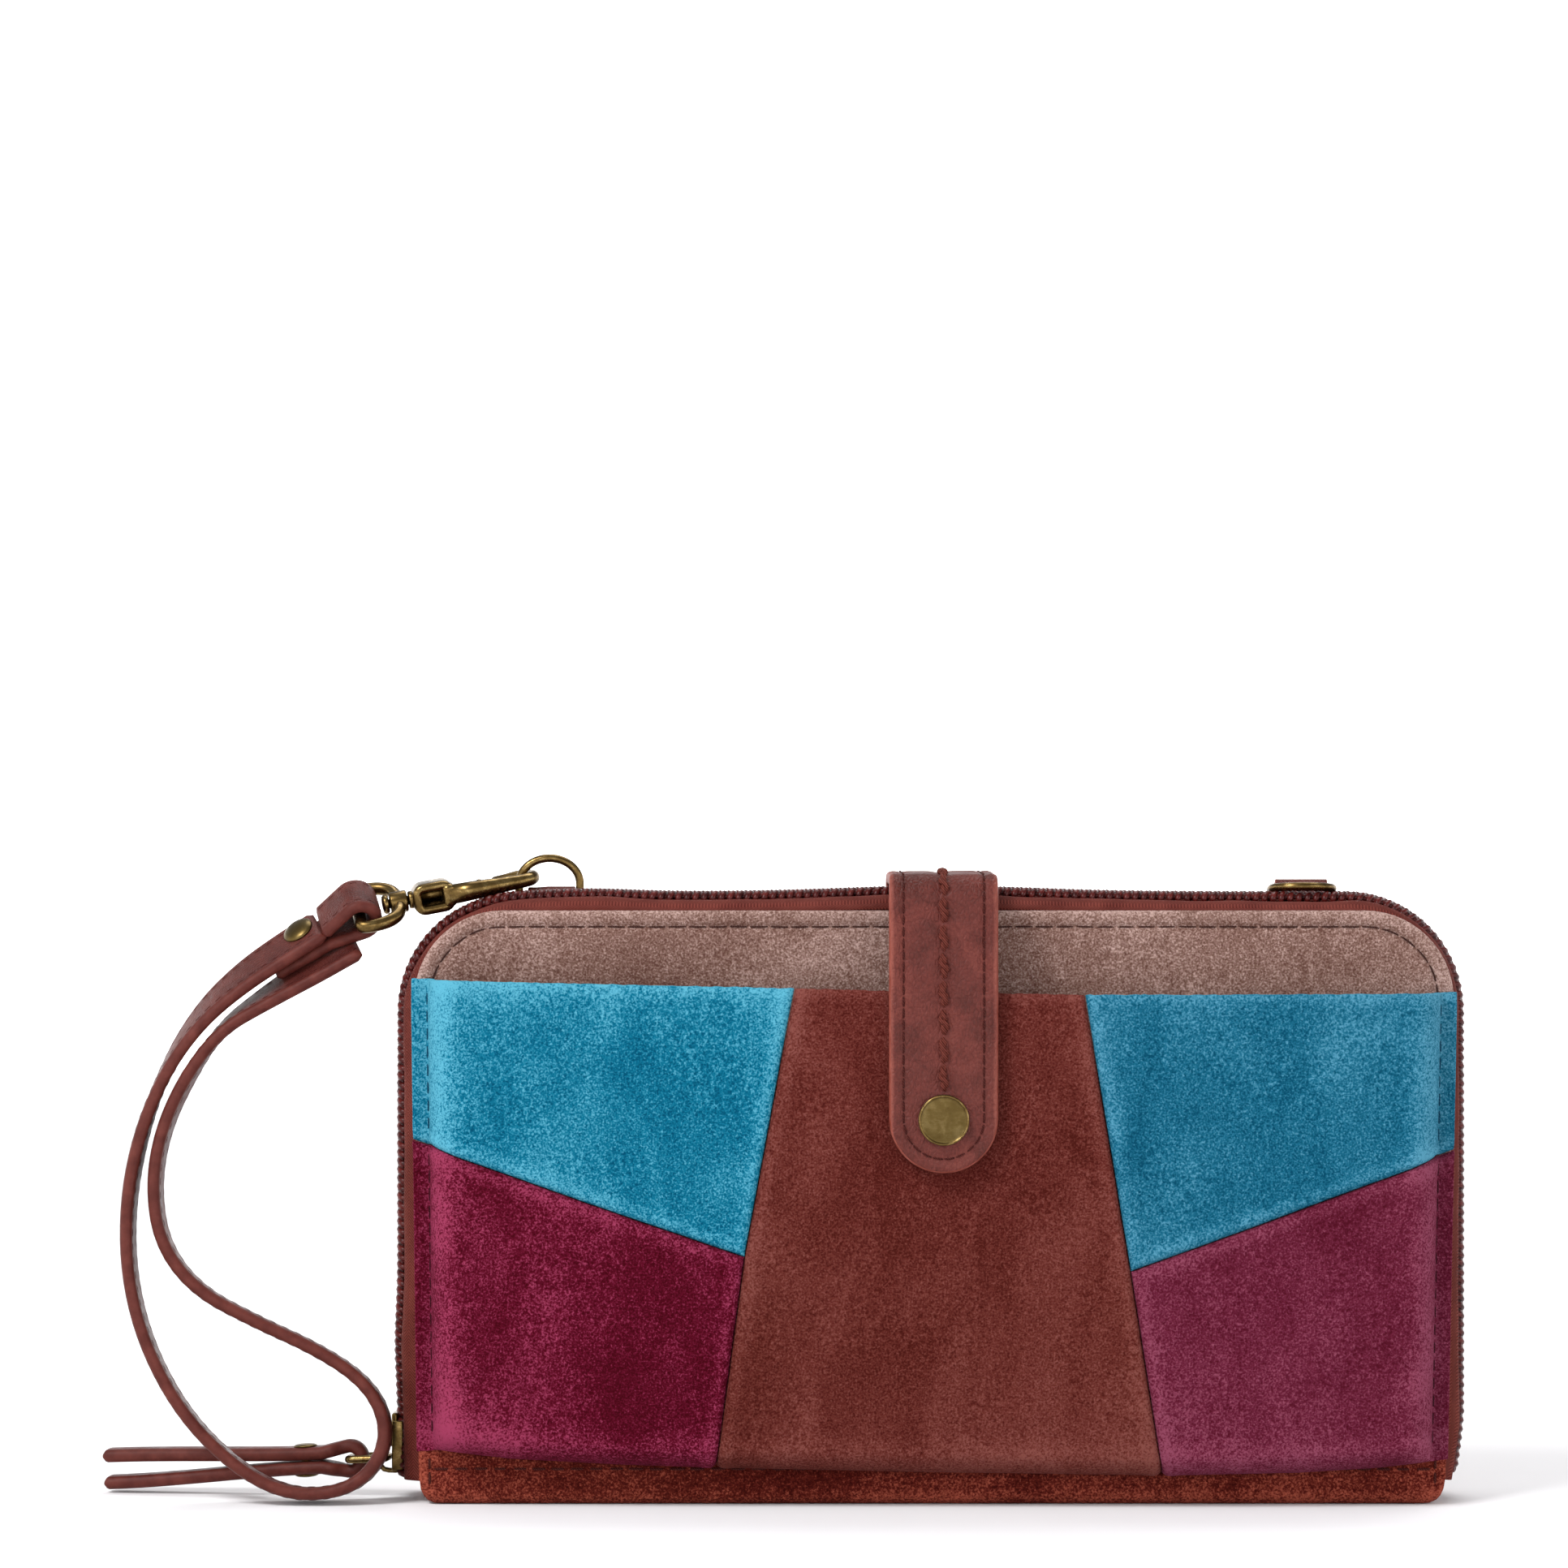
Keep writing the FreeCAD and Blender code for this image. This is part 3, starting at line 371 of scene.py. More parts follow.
class Recipe:
    """A material as it is made: most calls add a node and give its output."""

    def __init__(self, name, colour, roughness, metallic=0.0, specular=0.5, sheen=0.0, sheen_tint=None):
        self.made = bpy.data.materials.new(name)
        self.made.use_nodes = True
        self.tree = self.made.node_tree
        self.shader = self.tree.nodes["Principled BSDF"]
        self.fill(self.shader, {
            "Base Color": colour, "Roughness": roughness, "Metallic": metallic, "Sheen Weight": sheen,
            "Sheen Roughness": 0.45, "Sheen Tint": sheen_tint or colour, "Specular IOR Level": specular})

    def fill(self, node, values):
        """Set a node's sockets, or link them to the outputs given."""
        for key, value in values.items():
            socket = node.inputs[key]
            if isinstance(value, bpy.types.NodeSocket):
                self.tree.links.new(value, socket)
            else:
                socket.default_value = (*value, 1) if socket.type == "RGBA" else value

    def node(self, kind, output, values, **settings):
        node = self.tree.nodes.new("ShaderNode" + kind)
        for key, value in settings.items():
            setattr(node, key, value)
        self.fill(node, values)
        return node.outputs[output]

    def where(self, scale=(1, 1, 1), turn=(0, 0, 0)):
        source = self.node("TexCoord", "Object", {})
        return self.node("Mapping", "Vector", {"Vector": source, "Scale": scale, "Rotation": turn})

    def noise(self, vector, size_mm, detail=3.0, rough=0.6, distortion=0.0):
        return self.node("TexNoise", "Fac", {
            "Vector": vector, "Scale": 1000 / size_mm, "Detail": detail, "Roughness": rough,
            "Distortion": distortion})

    # The per-point lightening that a piece carries: rubbed places and painted highlights.
    def wear_and_highlight(self):
        return self.node("Attribute", "Fac", {}, attribute_name="wear_and_highlight")

    def math(self, operation, *values):
        return self.node("Math", "Value", dict(enumerate(values)), operation=operation)

    def weighted(self, *parts):
        """The sum of (value, weight) pairs."""
        total = self.math("MULTIPLY", *parts[0])
        for value, weight in parts[1:]:
            total = self.math("MULTIPLY_ADD", value, weight, total)
        return total

    def spread(self, value, low, high, out_low=0.0, out_high=1.0):
        return self.node("MapRange", "Result", {
            "Value": value, "From Min": low, "From Max": high, "To Min": out_low, "To Max": out_high})

    def mix(self, factor, first, second):
        return self.node("Mix", 2, {0: factor, 6: first, 7: second}, data_type="RGBA")

    def paint(self, tone, steps, colours):
        """Colours one after the other, as the tone goes up through the steps."""
        colour = colours[0]
        for low, high, following in zip(steps, steps[1:], colours[1:]):
            colour = self.mix(self.spread(tone, low, high), colour, following)
        self.fill(self.shader, {"Base Color": colour})

    def done(self, height, distance_mm, strength):
        """The material, with its bump."""
        normal = self.node("Bump", "Normal", {
            "Height": height, "Distance": distance_mm * MM, "Strength": strength})
        self.fill(self.shader, {"Normal": normal})
        return self.made


def suede(name, *tones):
    """Napped split leather: fine fibre and brushed areas, lighter where a piece marks it, at rubbed places
    and at painted highlights.
    """
    colours = [linear(tone) for tone in tones]
    made = Recipe(name, colours[1], 0.95, specular=0.06, sheen=0.12, sheen_tint=colours[2])
    where = made.where()
    fibre = made.noise(where, 0.4, 2.0, 0.6, 0.4)
    clump = made.noise(where, 1.25, 2.0, 0.5, 0.3)
    brushed = made.noise(made.where(scale=(1, 1, 0.55)), 15.0, 3.0, 0.5, 1.0)
    broad = made.noise(where, 48.0, 2.0, 0.5)
    level = made.weighted((fibre, 1.25), (clump, 0.32), (brushed, 0.42), (broad, 0.34), (made.wear_and_highlight(), 0.24))
    made.paint(level, (0.96, 1.2, 1.5), colours)
    return made.done(made.weighted((fibre, 1.0), (clump, 0.45)), 0.36, 0.75)


def grain_leather(name, *tones, roughness=0.5, grain_mm=0.8, depth=0.14):
    """Pebbled leather, with fine creases between the pebbles, painted a little darker as shade in them."""
    colours = [linear(tone) for tone in tones]
    made = Recipe(name, colours[1], roughness, specular=0.2)
    where = made.where()
    warp = made.noise(where, 2.5, 2.0)
    drawn = made.where(scale=(1, 1, 0.6), turn=(0.0, 0.5, 0.0))
    cells = made.node("TexVoronoi", "Distance", {"Vector": drawn, "Scale": 1000 / grain_mm},
                      feature="DISTANCE_TO_EDGE")
    pebble = made.spread(cells, 0.0, 0.22)
    fine = made.noise(where, 0.4, 3.0)
    patch = made.noise(where, 9.0, 3.0, 0.6, 0.5)
    # The creases between the pebbles come out a little darker: painted shade in them.
    crease = made.math("MULTIPLY", made.math("SUBTRACT", 1.0, pebble), made.spread(warp, 0.5, 0.72))
    tone = made.weighted((patch, 0.6), (fine, 0.4), (crease, -0.1), (made.wear_and_highlight(), 0.12))
    made.paint(tone, (0.36, 0.54, 0.9), colours)
    gloss = made.spread(made.math("ADD", patch, warp), 0.7, 1.3, roughness - 0.08, roughness + 0.12)
    made.fill(made.shader, {"Roughness": gloss})
    return made.done(made.weighted((pebble, 1.0), (fine, 0.3)), depth, 0.7)


def edge_paint(name, *tones):
    colours = [linear(tone) for tone in tones]
    made = Recipe(name, colours[0], 0.5, specular=0.14)
    streak = made.noise(made.where(), 3.0, 3.0, 0.6)
    made.paint(streak, (0.35, 0.7), colours)
    return made.done(streak, 0.15, 0.5)


def thread(name, *tones):
    """Twisted sewing thread."""
    colours = [linear(tone) for tone in tones]
    made = Recipe(name, colours[0], 0.7, specular=0.12, sheen=0.04)
    where = made.where(turn=(0.5, 0.6, 0.4))
    ply = made.node("TexWave", "Fac", {"Vector": where, "Scale": 900, "Distortion": 1.5})
    made.fill(made.shader, {"Base Color": made.mix(ply, *colours)})
    return made.done(ply, 0.08, 0.6)


def woven(name, *tones, rib_mm=2.4, pitch_mm=0.62):
    """Herringbone tape: slanted ribs that turn back at each column, on the piece's UVs."""
    colours = [linear(tone) for tone in tones]
    made = Recipe(name, colours[1], 0.8, specular=0.1, sheen=0.06)
    split = made.node("SeparateXYZ", "X", {"Vector": made.node("TexCoord", "UV", {})}).node
    run, side = split.outputs["X"], split.outputs["Y"]
    phase = made.math("ADD", run, made.math("PINGPONG", side, rib_mm / 2))
    wave = made.math("SINE", made.math("MULTIPLY", phase, TAU / pitch_mm))
    rib = made.math("MULTIPLY_ADD", wave, 0.5, 0.5)
    soil = made.noise(made.where(), 6.0, 3.0)
    made.paint(made.weighted((rib, 0.5), (soil, 0.8)), (0.3, 0.95), colours)
    groove = made.math("PINGPONG", side, rib_mm / 4)
    return made.done(made.weighted((rib, 1.0), (groove, 0.3)), 0.12, 0.8)


def lining_cloth(name, *tones, thread_mm=0.55):
    """Plain woven lining: two sets of threads that cross."""
    colours = [linear(tone) for tone in tones]
    made = Recipe(name, colours[1], 0.85, specular=0.1, sheen=0.1)
    split = made.node("SeparateXYZ", "X", {"Vector": made.where(scale=(1000, 1000, 1000))}).node
    warp, weft = (made.math("SINE", made.math("MULTIPLY", split.outputs[axis], TAU / thread_mm))
                  for axis in "XZ")
    weave = made.math("MULTIPLY_ADD", made.math("MULTIPLY", warp, weft), 0.5, 0.5)
    slub = made.noise(made.where(scale=(1, 1, 6)), 4.0, 3.0)
    made.paint(made.weighted((weave, 0.4), (slub, 0.9)), (0.35, 0.95), colours)
    return made.done(weave, 0.1, 0.7)


def nylon(name, *tones):
    colours = [linear(tone) for tone in tones]
    made = Recipe(name, colours[0], 0.3, specular=0.2)
    tone = made.noise(made.where(), 1.5, 2.0)
    made.paint(tone, (0.35, 0.7), colours)
    return made.done(tone, 0.05, 0.4)


def brass(name, *tones, roughness=0.26):
    """Antiqued brass: dark in patches, bright where it is rubbed, with fine scratches."""
    colours = [linear(tone) for tone in tones]
    made = Recipe(name, colours[1], roughness, metallic=1.0)
    where = made.where()
    patina = made.noise(where, 2.6, 4.0, 0.6, 0.6)
    grit = made.noise(where, 0.3, 2.0, 0.6)
    scratch = made.noise(made.where(scale=(1, 12, 4), turn=(0.5, 0.9, 0.35)), 1.6, 3.0, 0.7)
    tone = made.weighted((patina, 1.0), (grit, 0.2), (scratch, 0.3))
    made.paint(tone, (0.4, 0.74, 1.08), colours)
    made.fill(made.shader, {"Roughness": made.spread(tone, 0.5, 1.0, roughness + 0.1, roughness - 0.05)})
    return made.done(scratch, 0.004, 0.4)


def board(name, *tones):
    colours = [linear(tone) for tone in tones]
    made = Recipe(name, colours[0], 0.8, specular=0.2)
    tone = made.noise(made.where(scale=(0.2, 1, 1)), 1.2, 3.0)
    made.fill(made.shader, {"Base Color": made.mix(tone, *colours)})
    return made.done(tone, 0.08, 0.5)


BLUE = suede("suede_blue", (0, 86, 120), (14, 128, 162), (104, 198, 226))
# A darker copy of the blue suede for the upper right patch: painted shade for the weaker light on the right.
BLUE_PAINTED_SHADE = suede("suede_blue_painted_shade", (4, 80, 110), (32, 118, 150), (98, 174, 204))
WINE = suede("suede_wine", (74, 0, 16), (104, 12, 40), (176, 66, 102))
PLUM = suede("suede_plum", (86, 12, 34), (114, 35, 60), (162, 80, 106))
BROWN = suede("suede_brown", (80, 24, 17), (113, 50, 43), (148, 84, 76))
TAUPE = suede("suede_taupe", (112, 76, 66), (154, 119, 108), (222, 188, 178))
RUST = suede("suede_rust", (70, 14, 9), (106, 35, 26), (186, 92, 72))
LEATHER = grain_leather("grain_leather", (91, 34, 26), (118, 51, 43), (162, 86, 73))
STRAP_LEATHER = grain_leather("strap_leather", (82, 32, 27), (108, 50, 43), (146, 86, 78),
                              roughness=0.46, grain_mm=0.6, depth=0.07)
EDGE = edge_paint("edge_paint", (144, 66, 52), (178, 98, 84))
STRAP_EDGE = edge_paint("strap_edge", (98, 42, 35), (122, 60, 51))
THREAD = thread("thread_brown", (54, 14, 11), (98, 40, 33))
BLUE_THREAD = thread("thread_blue", (2, 52, 82), (14, 92, 124))
WINE_THREAD = thread("thread_wine", (44, 0, 14), (80, 10, 32))
TAUPE_THREAD = thread("thread_taupe", (42, 20, 17), (90, 54, 46))
CORD_THREAD = thread("thread_thick", (80, 28, 21), (138, 68, 56))
TAPE = woven("zip_tape_cloth", (88, 28, 22), (138, 66, 56))
COIL = nylon("zip_coil_nylon", (66, 12, 12), (118, 40, 36))
LINING = lining_cloth("lining_cloth", (64, 42, 34), (110, 78, 64))
POCKET_CLOTH = lining_cloth("pocket_cloth", (112, 82, 66), (160, 124, 102), thread_mm=0.5)
METAL = brass("antique_brass", (70, 54, 26), (132, 106, 62), (198, 170, 112))
CAP_METAL = brass("cap_brass", (92, 74, 38), (114, 94, 54), (146, 126, 82), roughness=0.36)
# Nearly black brass for the plate behind the hook's window: painted shade in the window.
WINDOW_SHADE_METAL = brass("brass_painted_shade", (18, 13, 8), (34, 26, 15), (66, 52, 30), roughness=0.4)
BOARD = board("stiff_board", (58, 48, 42), (84, 72, 62))


# ---- camera, light and floor ---------------------------------------------------------------
CAMERA_X, CAMERA_Z = -28.3, 137.7
CAMERA_DISTANCE = 1100.0        # from the plane of the pocket's middle
POCKET_PLANE = -16.0
VIEW_WIDTH = 298.6              # what the picture takes in at that plane
LIT_POINT = (0, 0, 0.05)        # in metres, as the lights' places are


def camera():
    data = bpy.data.cameras.new("camera")
    data.sensor_width = 36.0
    data.lens = data.sensor_width * CAMERA_DISTANCE / VIEW_WIDTH
    obj = put("camera", data)
    obj.location = Vector((CAMERA_X, POCKET_PLANE - CAMERA_DISTANCE, CAMERA_Z)) * MM
    obj.rotation_euler = (math.pi / 2, 0, 0)
    bpy.context.scene.camera = obj


def area_light(name, place, size, power, size_y=None):
    data = bpy.data.lights.new(name, "AREA")
    data.shape = "RECTANGLE"
    data.size, data.size_y = size, size_y or size
    data.energy = power
    obj = put(name, data)
    obj.location = place
    obj.rotation_euler = (Vector(LIT_POINT) - Vector(place)).to_track_quat("-Z", "Y").to_euler()


def staged(name, shape, used):
    """Floor, wall or card: shown or reflected, but no part of the object."""
    mesh = bpy.data.meshes.new(name)
    mesh.from_pydata((np.array(shape.points) * MM).tolist(), [], shape.faces)
    mesh.materials.append(used)
    put(name, mesh)


def studio():
    scene = bpy.context.scene
    scene.view_settings.view_transform = "Standard"
    world = bpy.data.worlds.new("studio")
    world.use_nodes = True
    background = world.node_tree.nodes["Background"].inputs
    background["Color"].default_value, background["Strength"].default_value = (1, 1, 1, 1), 0.4
    scene.world = world
    area_light("key", (-0.75, -0.80, 1.15), 0.5, 18.0)
    area_light("fill", (0.95, -0.9, 0.6), 0.7, 2.0)
    area_light("top", (0.1, 0.5, 1.3), 0.9, 8.0, 0.6)
    paper = Recipe("floor_paper", (0.86, 0.855, 0.87), 0.9, specular=0.0)
    grain = paper.noise(paper.where(), 30.0, 2.0)
    paper.fill(paper.shader, {"Base Color": paper.mix(grain, (0.85, 0.845, 0.86), (0.87, 0.865, 0.88))})
    wall = Recipe("wall_paper", (0.9, 0.9, 0.9), 0.9, specular=0.0)
    wall.fill(wall.shader, {"Emission Color": (1, 1, 1), "Emission Strength": 1.0})
    radius, height, count = 1700.0, 750.0, 96
    ring = [(radius * math.cos(TAU * k / count), radius * math.sin(TAU * k / count)) for k in range(count)]
    floor, sides = Shape(), Shape()
    floor.add([(x, y, 0) for x, y in ring], [tuple(range(count))])
    sides.add([(x, y, 0) for x, y in ring] + [(x, y, height) for x, y in ring],
              [(k, (k + 1) % count, count + (k + 1) % count, count + k) for k in range(count)])
    staged("floor", floor, paper.made)
    staged("wall", sides, wall.made)


# ---- wrist strap -----------------------------------------------------------------------------
STRAP_WIDE, STRAP_THICK = 10.0, 2.5
STRAP_LEAN = math.radians(5.8)         # of the loop's plane, out of the upright
EYE = np.array(joint("strap_swing")["pos_m"]) / MM
EYE_BAR = unit(joint("strap_swing")["axis"])
FOLD_RADIUS = 3.1              # of the strap's middle round the eye
SEAM = 7.4                     # where the strands meet, from the eye
FLAP_END = 19.6                # of the flap under them
SLOPE = math.radians(33.0)     # of the strands at the eye
# The loop's route in the plane that it lies in before it leans, from the seam round to the rivet.
ROUTE = [
    (-0.1180, 0.1102), (-0.12535, 0.10551), (-0.1330, 0.1002), (-0.1404, 0.0934), (-0.1468, 0.0840),
    (-0.1518, 0.0715), (-0.1545, 0.0575), (-0.1542, 0.0430), (-0.1506, 0.0295), (-0.1434, 0.0165),
    (-0.1334, 0.0065), (-0.1236, 0.0013), (-0.1142, 0.0014), (-0.1078, 0.0047), (-0.1044, 0.0108),
    (-0.1051, 0.0174), (-0.1094, 0.0234), (-0.1180, 0.0289), (-0.1294, 0.0340), (-0.1410, 0.0400),
    (-0.1478, 0.0488), (-0.1496, 0.0600), (-0.1479, 0.0710), (-0.1429, 0.0818), (-0.1366, 0.0906),
    (-0.12895, 0.09585), (-0.1211, 0.10075), (-0.1107, 0.1066),
]
LEAN_SIDE = np.array([0, math.cos(STRAP_LEAN), -math.sin(STRAP_LEAN)])


def leaned(x, z):
    """A point of the route, in millimetres, put into the strap's leaning plane."""
    drop = z - EYE[2]
    return np.array([x, EYE[1] + drop * math.sin(STRAP_LEAN), EYE[2] + drop * math.cos(STRAP_LEAN)])


def nurbs_line(points_m):
    """Points of a smooth NURBS line with the given control points, in millimetres."""
    curve = bpy.data.curves.new("route", "CURVE")
    curve.dimensions = "3D"
    curve.resolution_u = 16
    spline = curve.splines.new("NURBS")
    spline.points.add(len(points_m) - 1)
    for point, place in zip(spline.points, points_m):
        point.co = (*place, 1)
    spline.order_u = 3
    spline.use_endpoint_u = True
    obj = put("route", curve)
    mesh = bpy.data.meshes.new_from_object(obj)
    line = np.array([v.co for v in mesh.vertices]) / MM
    bpy.data.objects.remove(obj)
    bpy.data.curves.remove(curve)
    bpy.data.meshes.remove(mesh)
    return line


def strap_section(wide, thick):
    """A strap's outline across: flat faces, rounded painted edges."""
    half, deep = wide / 2, thick / 2
    round_part = 0.9 * deep
    flat = half - round_part
    top = [(x, deep * (1 - 0.05 * abs(x) / flat)) for x in np.linspace(-flat, flat, 7)]
    edge = [(flat + round_part * math.sin(a), deep * 0.95 * math.cos(a))
            for a in np.linspace(0, math.pi, 8)[1:-1]]
    return top + edge + [(-x, -z) for x, z in top] + [(-x, -z) for x, z in edge], len(top)


def strap_run(shape, line, sides, wide=STRAP_WIDE, thick=STRAP_THICK, kinds=(0, 1), closed=False):
    """Sweep a strap along a line whose width directions are given; wide may change along it."""
    count = len(line)
    wide = np.broadcast_to(np.asarray(wide, float), (count,))
    flat_count = strap_section(wide[0], thick)[1]
    ahead = np.roll(line, -1, axis=0) - np.roll(line, 1, axis=0) if closed else np.gradient(line, axis=0)
    tangent = unit(ahead)
    sides = unit(sides - tangent * np.sum(sides * tangent, axis=1, keepdims=True))
    up = np.cross(tangent, sides)
    run = run_along(line)
    points, uv = [], []
    for i in range(count):
        from_end = 9.0 if closed else min(run[i], run[-1] - run[i])
        full = math.sqrt(max(0.2, 1 - max(0.0, 1 - from_end / 0.8) ** 2))
        for a, b in strap_section(wide[i], thick)[0]:
            points.append(line[i] + sides[i] * (a - (1 - full) * math.copysign(0.6, a)) + up[i] * b * full)
            uv.append((run[i], a))
    around = len(strap_section(wide[0], thick)[0])
    faces = grid_faces(count, around, close_rows=closed, close_columns=True)
    painted = set(range(flat_count - 1, flat_count + 6)) | set(range(2 * flat_count + 5, around))
    kind_list = [kinds[j % around in painted] for j in range(len(faces))]
    if not closed:
        faces += end_faces(count, around)
        kind_list += [kinds[1]] * 2
    shape.add(points, faces, kind_list, uv)
    return sides, up


def sewn_strap(name, line, sides, nodes):
    """The strap along a line, with a row of stitches near each edge of both its faces."""
    strap = Shape()
    sides, up = strap_run(strap, line, sides)
    for face in (1, -1):
        for edge in (1, -1):
            row = line + sides * edge * (STRAP_WIDE / 2 - 1.9) + up * face * (STRAP_THICK / 2 - 0.07)
            stitches(strap, row, up * face, 2.7, 0.7, 0.12, -0.02, 2)
    return strap.piece(name, [STRAP_LEATHER, STRAP_EDGE, THREAD], "grain_leather", "wrist_strap", nodes)


def fold_line():
    """From the flap's end under the strap, round the eye, to the seam on the upper strand."""
    away = np.array([-math.cos(SLOPE), 0, -math.sin(SLOPE)])
    away = unit(away - EYE_BAR * (away @ EYE_BAR))
    upper = np.cross(EYE_BAR, away)
    layer = STRAP_THICK / 2 + 0.06
    touch = math.atan2(layer, -SEAM) - math.acos(FOLD_RADIUS / math.hypot(SEAM, layer))
    arc = turned((0, 0), FOLD_RADIUS, -math.degrees(touch), math.degrees(touch), 26)
    low = [(-x, -layer) for x in np.linspace(FLAP_END, SEAM, 14)]
    line = np.array([EYE - away * x + upper * z for x, z in low + arc + [(-SEAM, layer)]])
    return resample(line, 0.6), away, upper


def twist_at(run, total):
    """How far the strap's width still follows the eye, along the loop."""
    near = 1 - smooth_step((run - 4.0) / 62.0)
    end = 0.85 * smooth_step((run - (total - 46.0)) / 40.0)
    return np.maximum(near, end)


def wrist_strap():
    route = [leaned(x / MM, z / MM) * MM for x, z in ROUTE]
    line = resample(nurbs_line(route), 1.2)
    run = run_along(line)
    turn = twist_at(run, run[-1])[:, None]
    sides = unit(EYE_BAR * turn + LEAN_SIDE * (1 - turn))
    fold_points, away, upper = fold_line()
    loop = sewn_strap("wrist_strap_loop", line, sides, ["wrist_strap"])
    folded = sewn_strap("wrist_strap_fold", fold_points, EYE_BAR, ["strap_fold", "strap_flap"])
    rivet = strap_rivet(away, upper)


def strap_rivet(away, upper):
    """Domed cap on the upper strand and a smaller one under the lowest."""
    place = EYE + away * 11.8
    rivet = Shape()
    cap = [(0.0, 3.75), (1.2, 3.7), (2.2, 3.5), (2.85, 3.2), (3.1, 2.95), (3.1, 2.65), (1.0, 2.6),
           (0.95, -5.2), (2.4, -5.25), (2.6, -5.5), (2.3, -5.75), (1.0, -5.9), (0.0, -5.92)]
    lathe(rivet, cap, place, upper, 40)
    return rivet.piece("wrist_strap_rivet", [CAP_METAL], "antique_brass", "wrist_strap", ["strap_rivet"])


# ---- panels ------------------------------------------------------------------------------------
TOPSTITCH = 3.1                 # of the covers, from their edge


def outline(half, bottom, top, high_corner, low_corner):
    """Points round a panel, from its lower left corner up, over and back along the bottom."""
    side, turn, wide, low = 30, 14, 70, 8      # points to each of its lines and corners

    def arc(x, z, radius, start, count):
        angles = np.radians(np.linspace(start, start - 90, count, endpoint=False))
        return np.stack([x + radius * np.cos(angles), z + radius * np.sin(angles)], axis=1)

    def line(x0, z0, x1, z1, count):
        t = np.linspace(0, 1, count, endpoint=False)[:, None]
        return np.array([[x0, z0]]) * (1 - t) + np.array([[x1, z1]]) * t

    h, r, q = half, max(high_corner, 0.2), max(low_corner, 0.2)
    return np.concatenate([
        line(-h, bottom + q, -h, top - r, side), arc(-h + r, top - r, r, 180, turn),
        line(-h + r, top, h - r, top, wide), arc(h - r, top - r, r, 90, turn),
        line(h, top - r, h, bottom + q, side), arc(h - q, bottom + q, q, 0, low),
        line(h - q, bottom, -h + q, bottom, wide), arc(-h + q, bottom + q, q, -90, low)])


def plate(shape, half, bottom, top, corner, low_corner, face_y, back_y, edge, relief):
    """A panel with a rounded edge; relief(x, z, inset) lifts its outer face."""
    outward = 1 if back_y < face_y else -1
    insets = [0, 0.25, 0.6, 1.1, 1.8, 2.4, 2.8, 3.2, 3.6, 4.4, 6, 8.5, 12, 16, 21, 27, 34, 42, 50]
    insets = [d for d in insets if d < min(half, (top - bottom) / 2) - 0.6]
    rings, wear_and_highlight = [], []
    for front, d in [(True, d) for d in reversed(insets)] + [(False, d) for d in insets]:
        loop = outline(half - d, bottom + d, top - d, corner - d, low_corner - d)
        drop = edge - math.sqrt(max(edge ** 2 - max(edge - d, 0) ** 2, 0))
        lift = np.array([relief(x, z, d) for x, z in loop]) * min(1, d / 1.5)
        y = face_y - outward * (drop - lift) if front else np.full(len(loop), back_y + outward * drop)
        rings.append(np.stack([loop[:, 0], y, loop[:, 1]], axis=1))
        # The front face lightens towards its rounded edge: a painted highlight along the edge.
        wear_and_highlight.append(np.full(len(loop), 0.7 * math.exp(-d / 1.3) if front else 0.0))
    around = len(rings[0])
    faces = grid_faces(len(rings), around, close_columns=True) + end_faces(len(rings), around)
    points = np.concatenate(rings)
    shape.add(points, faces, 0, points[:, [0, 2]], np.concatenate(wear_and_highlight))


def cover_panels():
    def relief(x, z, d):
        return -0.5 * gauss(d - TOPSTITCH, 0.5) + 0.22 * ripple(x, z, 26, 1.5) + 0.1 * ripple(x, z, 9, 4.5)

    for name, body, y, outward in (("front", "front_cover", FRONT_FACE, -1), ("back", "root", BACK_FACE, 1)):
        panel = Shape()
        plate(panel, HALF, BOTTOM, TOP, PANEL_CORNER, 2.0, y, y - outward * COVER_THICK, 0.85, relief)
        sewn_edge(panel, y, outward)
        panel.piece(f"{name}_panel", [TAUPE, TAUPE_THREAD], "suede_taupe", body, [f"{name}_cover"],
                    narrowed=True)


def sewn_edge(shape, y, outward):
    """The topstitch inside the edge of a cover, a little uneven, in its groove."""
    loop = outline(HALF - TOPSTITCH, BOTTOM + TOPSTITCH, TOP - TOPSTITCH, PANEL_CORNER - TOPSTITCH, 0.4)
    path = np.array([(x + 0.16 * ripple(x, z, 5, 1.0), y - outward * 0.3, z + 0.16 * ripple(x, z, 5, 8.0))
                     for x, z in loop])
    stitches(shape, path[path[:, 2] > FLANGE_HIGH[2] + 1], (0, outward, 0), 3.9, 0.84, 0.16, 0.05, 1)


# ---- spine -----------------------------------------------------------------------------------
SPINE_HALF = HALF - 0.1          # it covers the ends of the covers' lower corners
SPINE_END = 3.4                 # how far its ends round up off the floor
SPINE_SEAM = 6.9                # height of its topstitch


